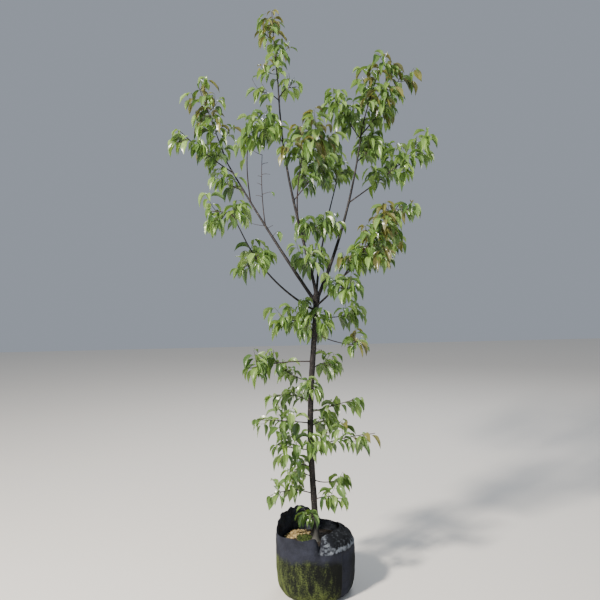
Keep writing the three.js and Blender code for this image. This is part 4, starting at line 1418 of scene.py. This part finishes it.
# Painted shade: the side that leans in is painted near black, half as much at the dusty corner
painted_shade_black = folded * (1 - 0.5 * corner)
for key, values in (("dust", dusted), ("bare", pleat_share(headings)), ("lean", painted_shade_black)):
    bag_mesh.attributes.new(key, "FLOAT", "POINT").data.foreach_set("value", values)
dress("bag_felt", bag_mesh, ["bag"])

potting = [(0.3, "110e0c"), (0.55, "211a14"), (0.75, "403427")]
mix_material = loose("potting_mix", potting, 5)
dress("soil_surface", joined("soil_surface", [soil_rings()]), ["soil"], mix_material)

chip_places = [
    scattered(STREWN_CHIPS, 11, STREWN_RADIUS),
    scattered(PILED_CHIPS, 12, PILED_RADIUS, (PILE_X, PILE_Y)),
]
chip_places = np.vstack(chip_places)
# Painted shade: chips right of this line are dropped, so the dark potting mix stands for the shade by
# the notch and the folded side
chip_places = chip_places[chip_places[:, 0] < SHADED_BARE_SOIL_X]
tones = np.random.default_rng(13).random(len(chip_places))
chip_guide = chains("bark_chips", [[place] for place in chip_places * MM], tone=tones)
mulch = [(0.2, "63502f"), (0.45, "8f7a50"), (0.7, "b09a6c"), (0.9, "cdbb90")]
mulch_material = loose("bark_mulch", mulch, 4, key="tone")
chip = ("GeometryNodeMeshCube", {"Size": (1, 1, 1), "Vertices X": 3, "Vertices Y": 3})
chip_sizes = ((0.005, 0.003, 0.0015), (0.019, 0.009, 0.004))
mesh = strewn("bark_chips", chip_guide, mulch_material, chip, 0.45, chip_sizes, 0.004, 3)
dress("bark_chips", mesh, ["soil"])

crumb_places = scattered(CRUMBS, 16, STREWN_RADIUS)
crumb_guide = chains("soil_crumbs", [[place] for place in crumb_places * MM])
crumb_sizes = ((0.001, 0.001, 0.001), (0.0045, 0.003, 0.002))
mesh = strewn("soil_crumbs", crumb_guide, mix_material, ball, 0.6, crumb_sizes, 0.002, 5)
dress("soil_crumbs", mesh, ["soil"])

moss_places = scattered(MOSS_TUFTS, 14, MOSS_RADIUS, (MOSS_X, MOSS_Y))
tones = np.random.default_rng(15).random(len(moss_places))
moss_guide = chains("moss", [[place] for place in moss_places * MM], tone=tones)
moss_greens = [(0.3, "161e0e"), (0.6, "35461d"), (0.8, "71883e")]
moss_material = loose("moss_green", moss_greens, 3, key="tone")
tuft = ("GeometryNodeMeshCone", {"Vertices": 5, "Radius Top": 0, "Radius Bottom": 1, "Depth": 2})
tuft_sizes = ((0.0009, 0.0009, 0.002), (0.0018, 0.0018, 0.005))
mesh = strewn("moss", moss_guide, moss_material, tuft, 0.5, tuft_sizes, 0.001, 4)
dress("moss", mesh, ["soil"])


# Floor, light and camera


FLOOR_HALF = 6
FLOOR_Z = -0.0004
corners = [(x * FLOOR_HALF, y * FLOOR_HALF, FLOOR_Z) for x, y in ((-1, -1), (1, -1), (1, 1), (-1, 1))]
floor_mesh = mesh_of("floor", corners, faces=[(0, 1, 2, 3)])
floor = bpy.data.objects.new("floor", floor_mesh)
bpy.context.scene.collection.objects.link(floor)
floor_paint, tree = blank_material("floor_paint")
paint = add(tree, "ShaderNodeBsdfPrincipled", {"Base Color": linear("d9d6d0"), "Roughness": 0.9})
add(tree, "ShaderNodeOutputMaterial", {0: paint})
floor_mesh.materials.append(floor_paint)

AIM = Vector((0.02, 0, 1.0))
# Lights: name, place, width and power, with the colour
LIGHTS = [
    ("key", (-2.3, -2.5, 3.4), 0.45, 520, "fff6ea"),
    ("fill", (2.6, -2.6, 1.5), 2.4, 20, "eaf1ff"),
    ("rim", (0.8, 2.6, 2.9), 1.6, 60, "f4f8ff"),
]
for name, place, size, power, colour in LIGHTS:
    lamp = bpy.data.lights.new(name, "AREA")
    lamp.size = size
    lamp.energy = power
    lamp.color = linear(colour)[:3]
    light = bpy.data.objects.new(name, lamp)
    light.location = place
    light.rotation_euler = (AIM - Vector(place)).to_track_quat("-Z", "Y").to_euler()
    bpy.context.scene.collection.objects.link(light)

SKY_STRENGTH = 0.42
world = bpy.data.worlds.new("studio")
world.use_nodes = True
sky = world.node_tree.nodes["Background"].inputs
sky["Color"].default_value = linear("dce6f5")
sky["Strength"].default_value = SKY_STRENGTH
bpy.context.scene.world = world

lens = bpy.data.cameras.new("camera")
lens.lens = CAMERA_LENS
camera = bpy.data.objects.new("camera", lens)
tilt = Matrix.Rotation(math.radians(90 - CAMERA_TILT), 4, "X")
roll = Matrix.Rotation(math.radians(-CAMERA_ROLL), 4, "Z")
camera.matrix_world = Matrix.Translation(CAMERA_AT) @ tilt @ roll
bpy.context.scene.collection.objects.link(camera)
bpy.context.scene.camera = camera
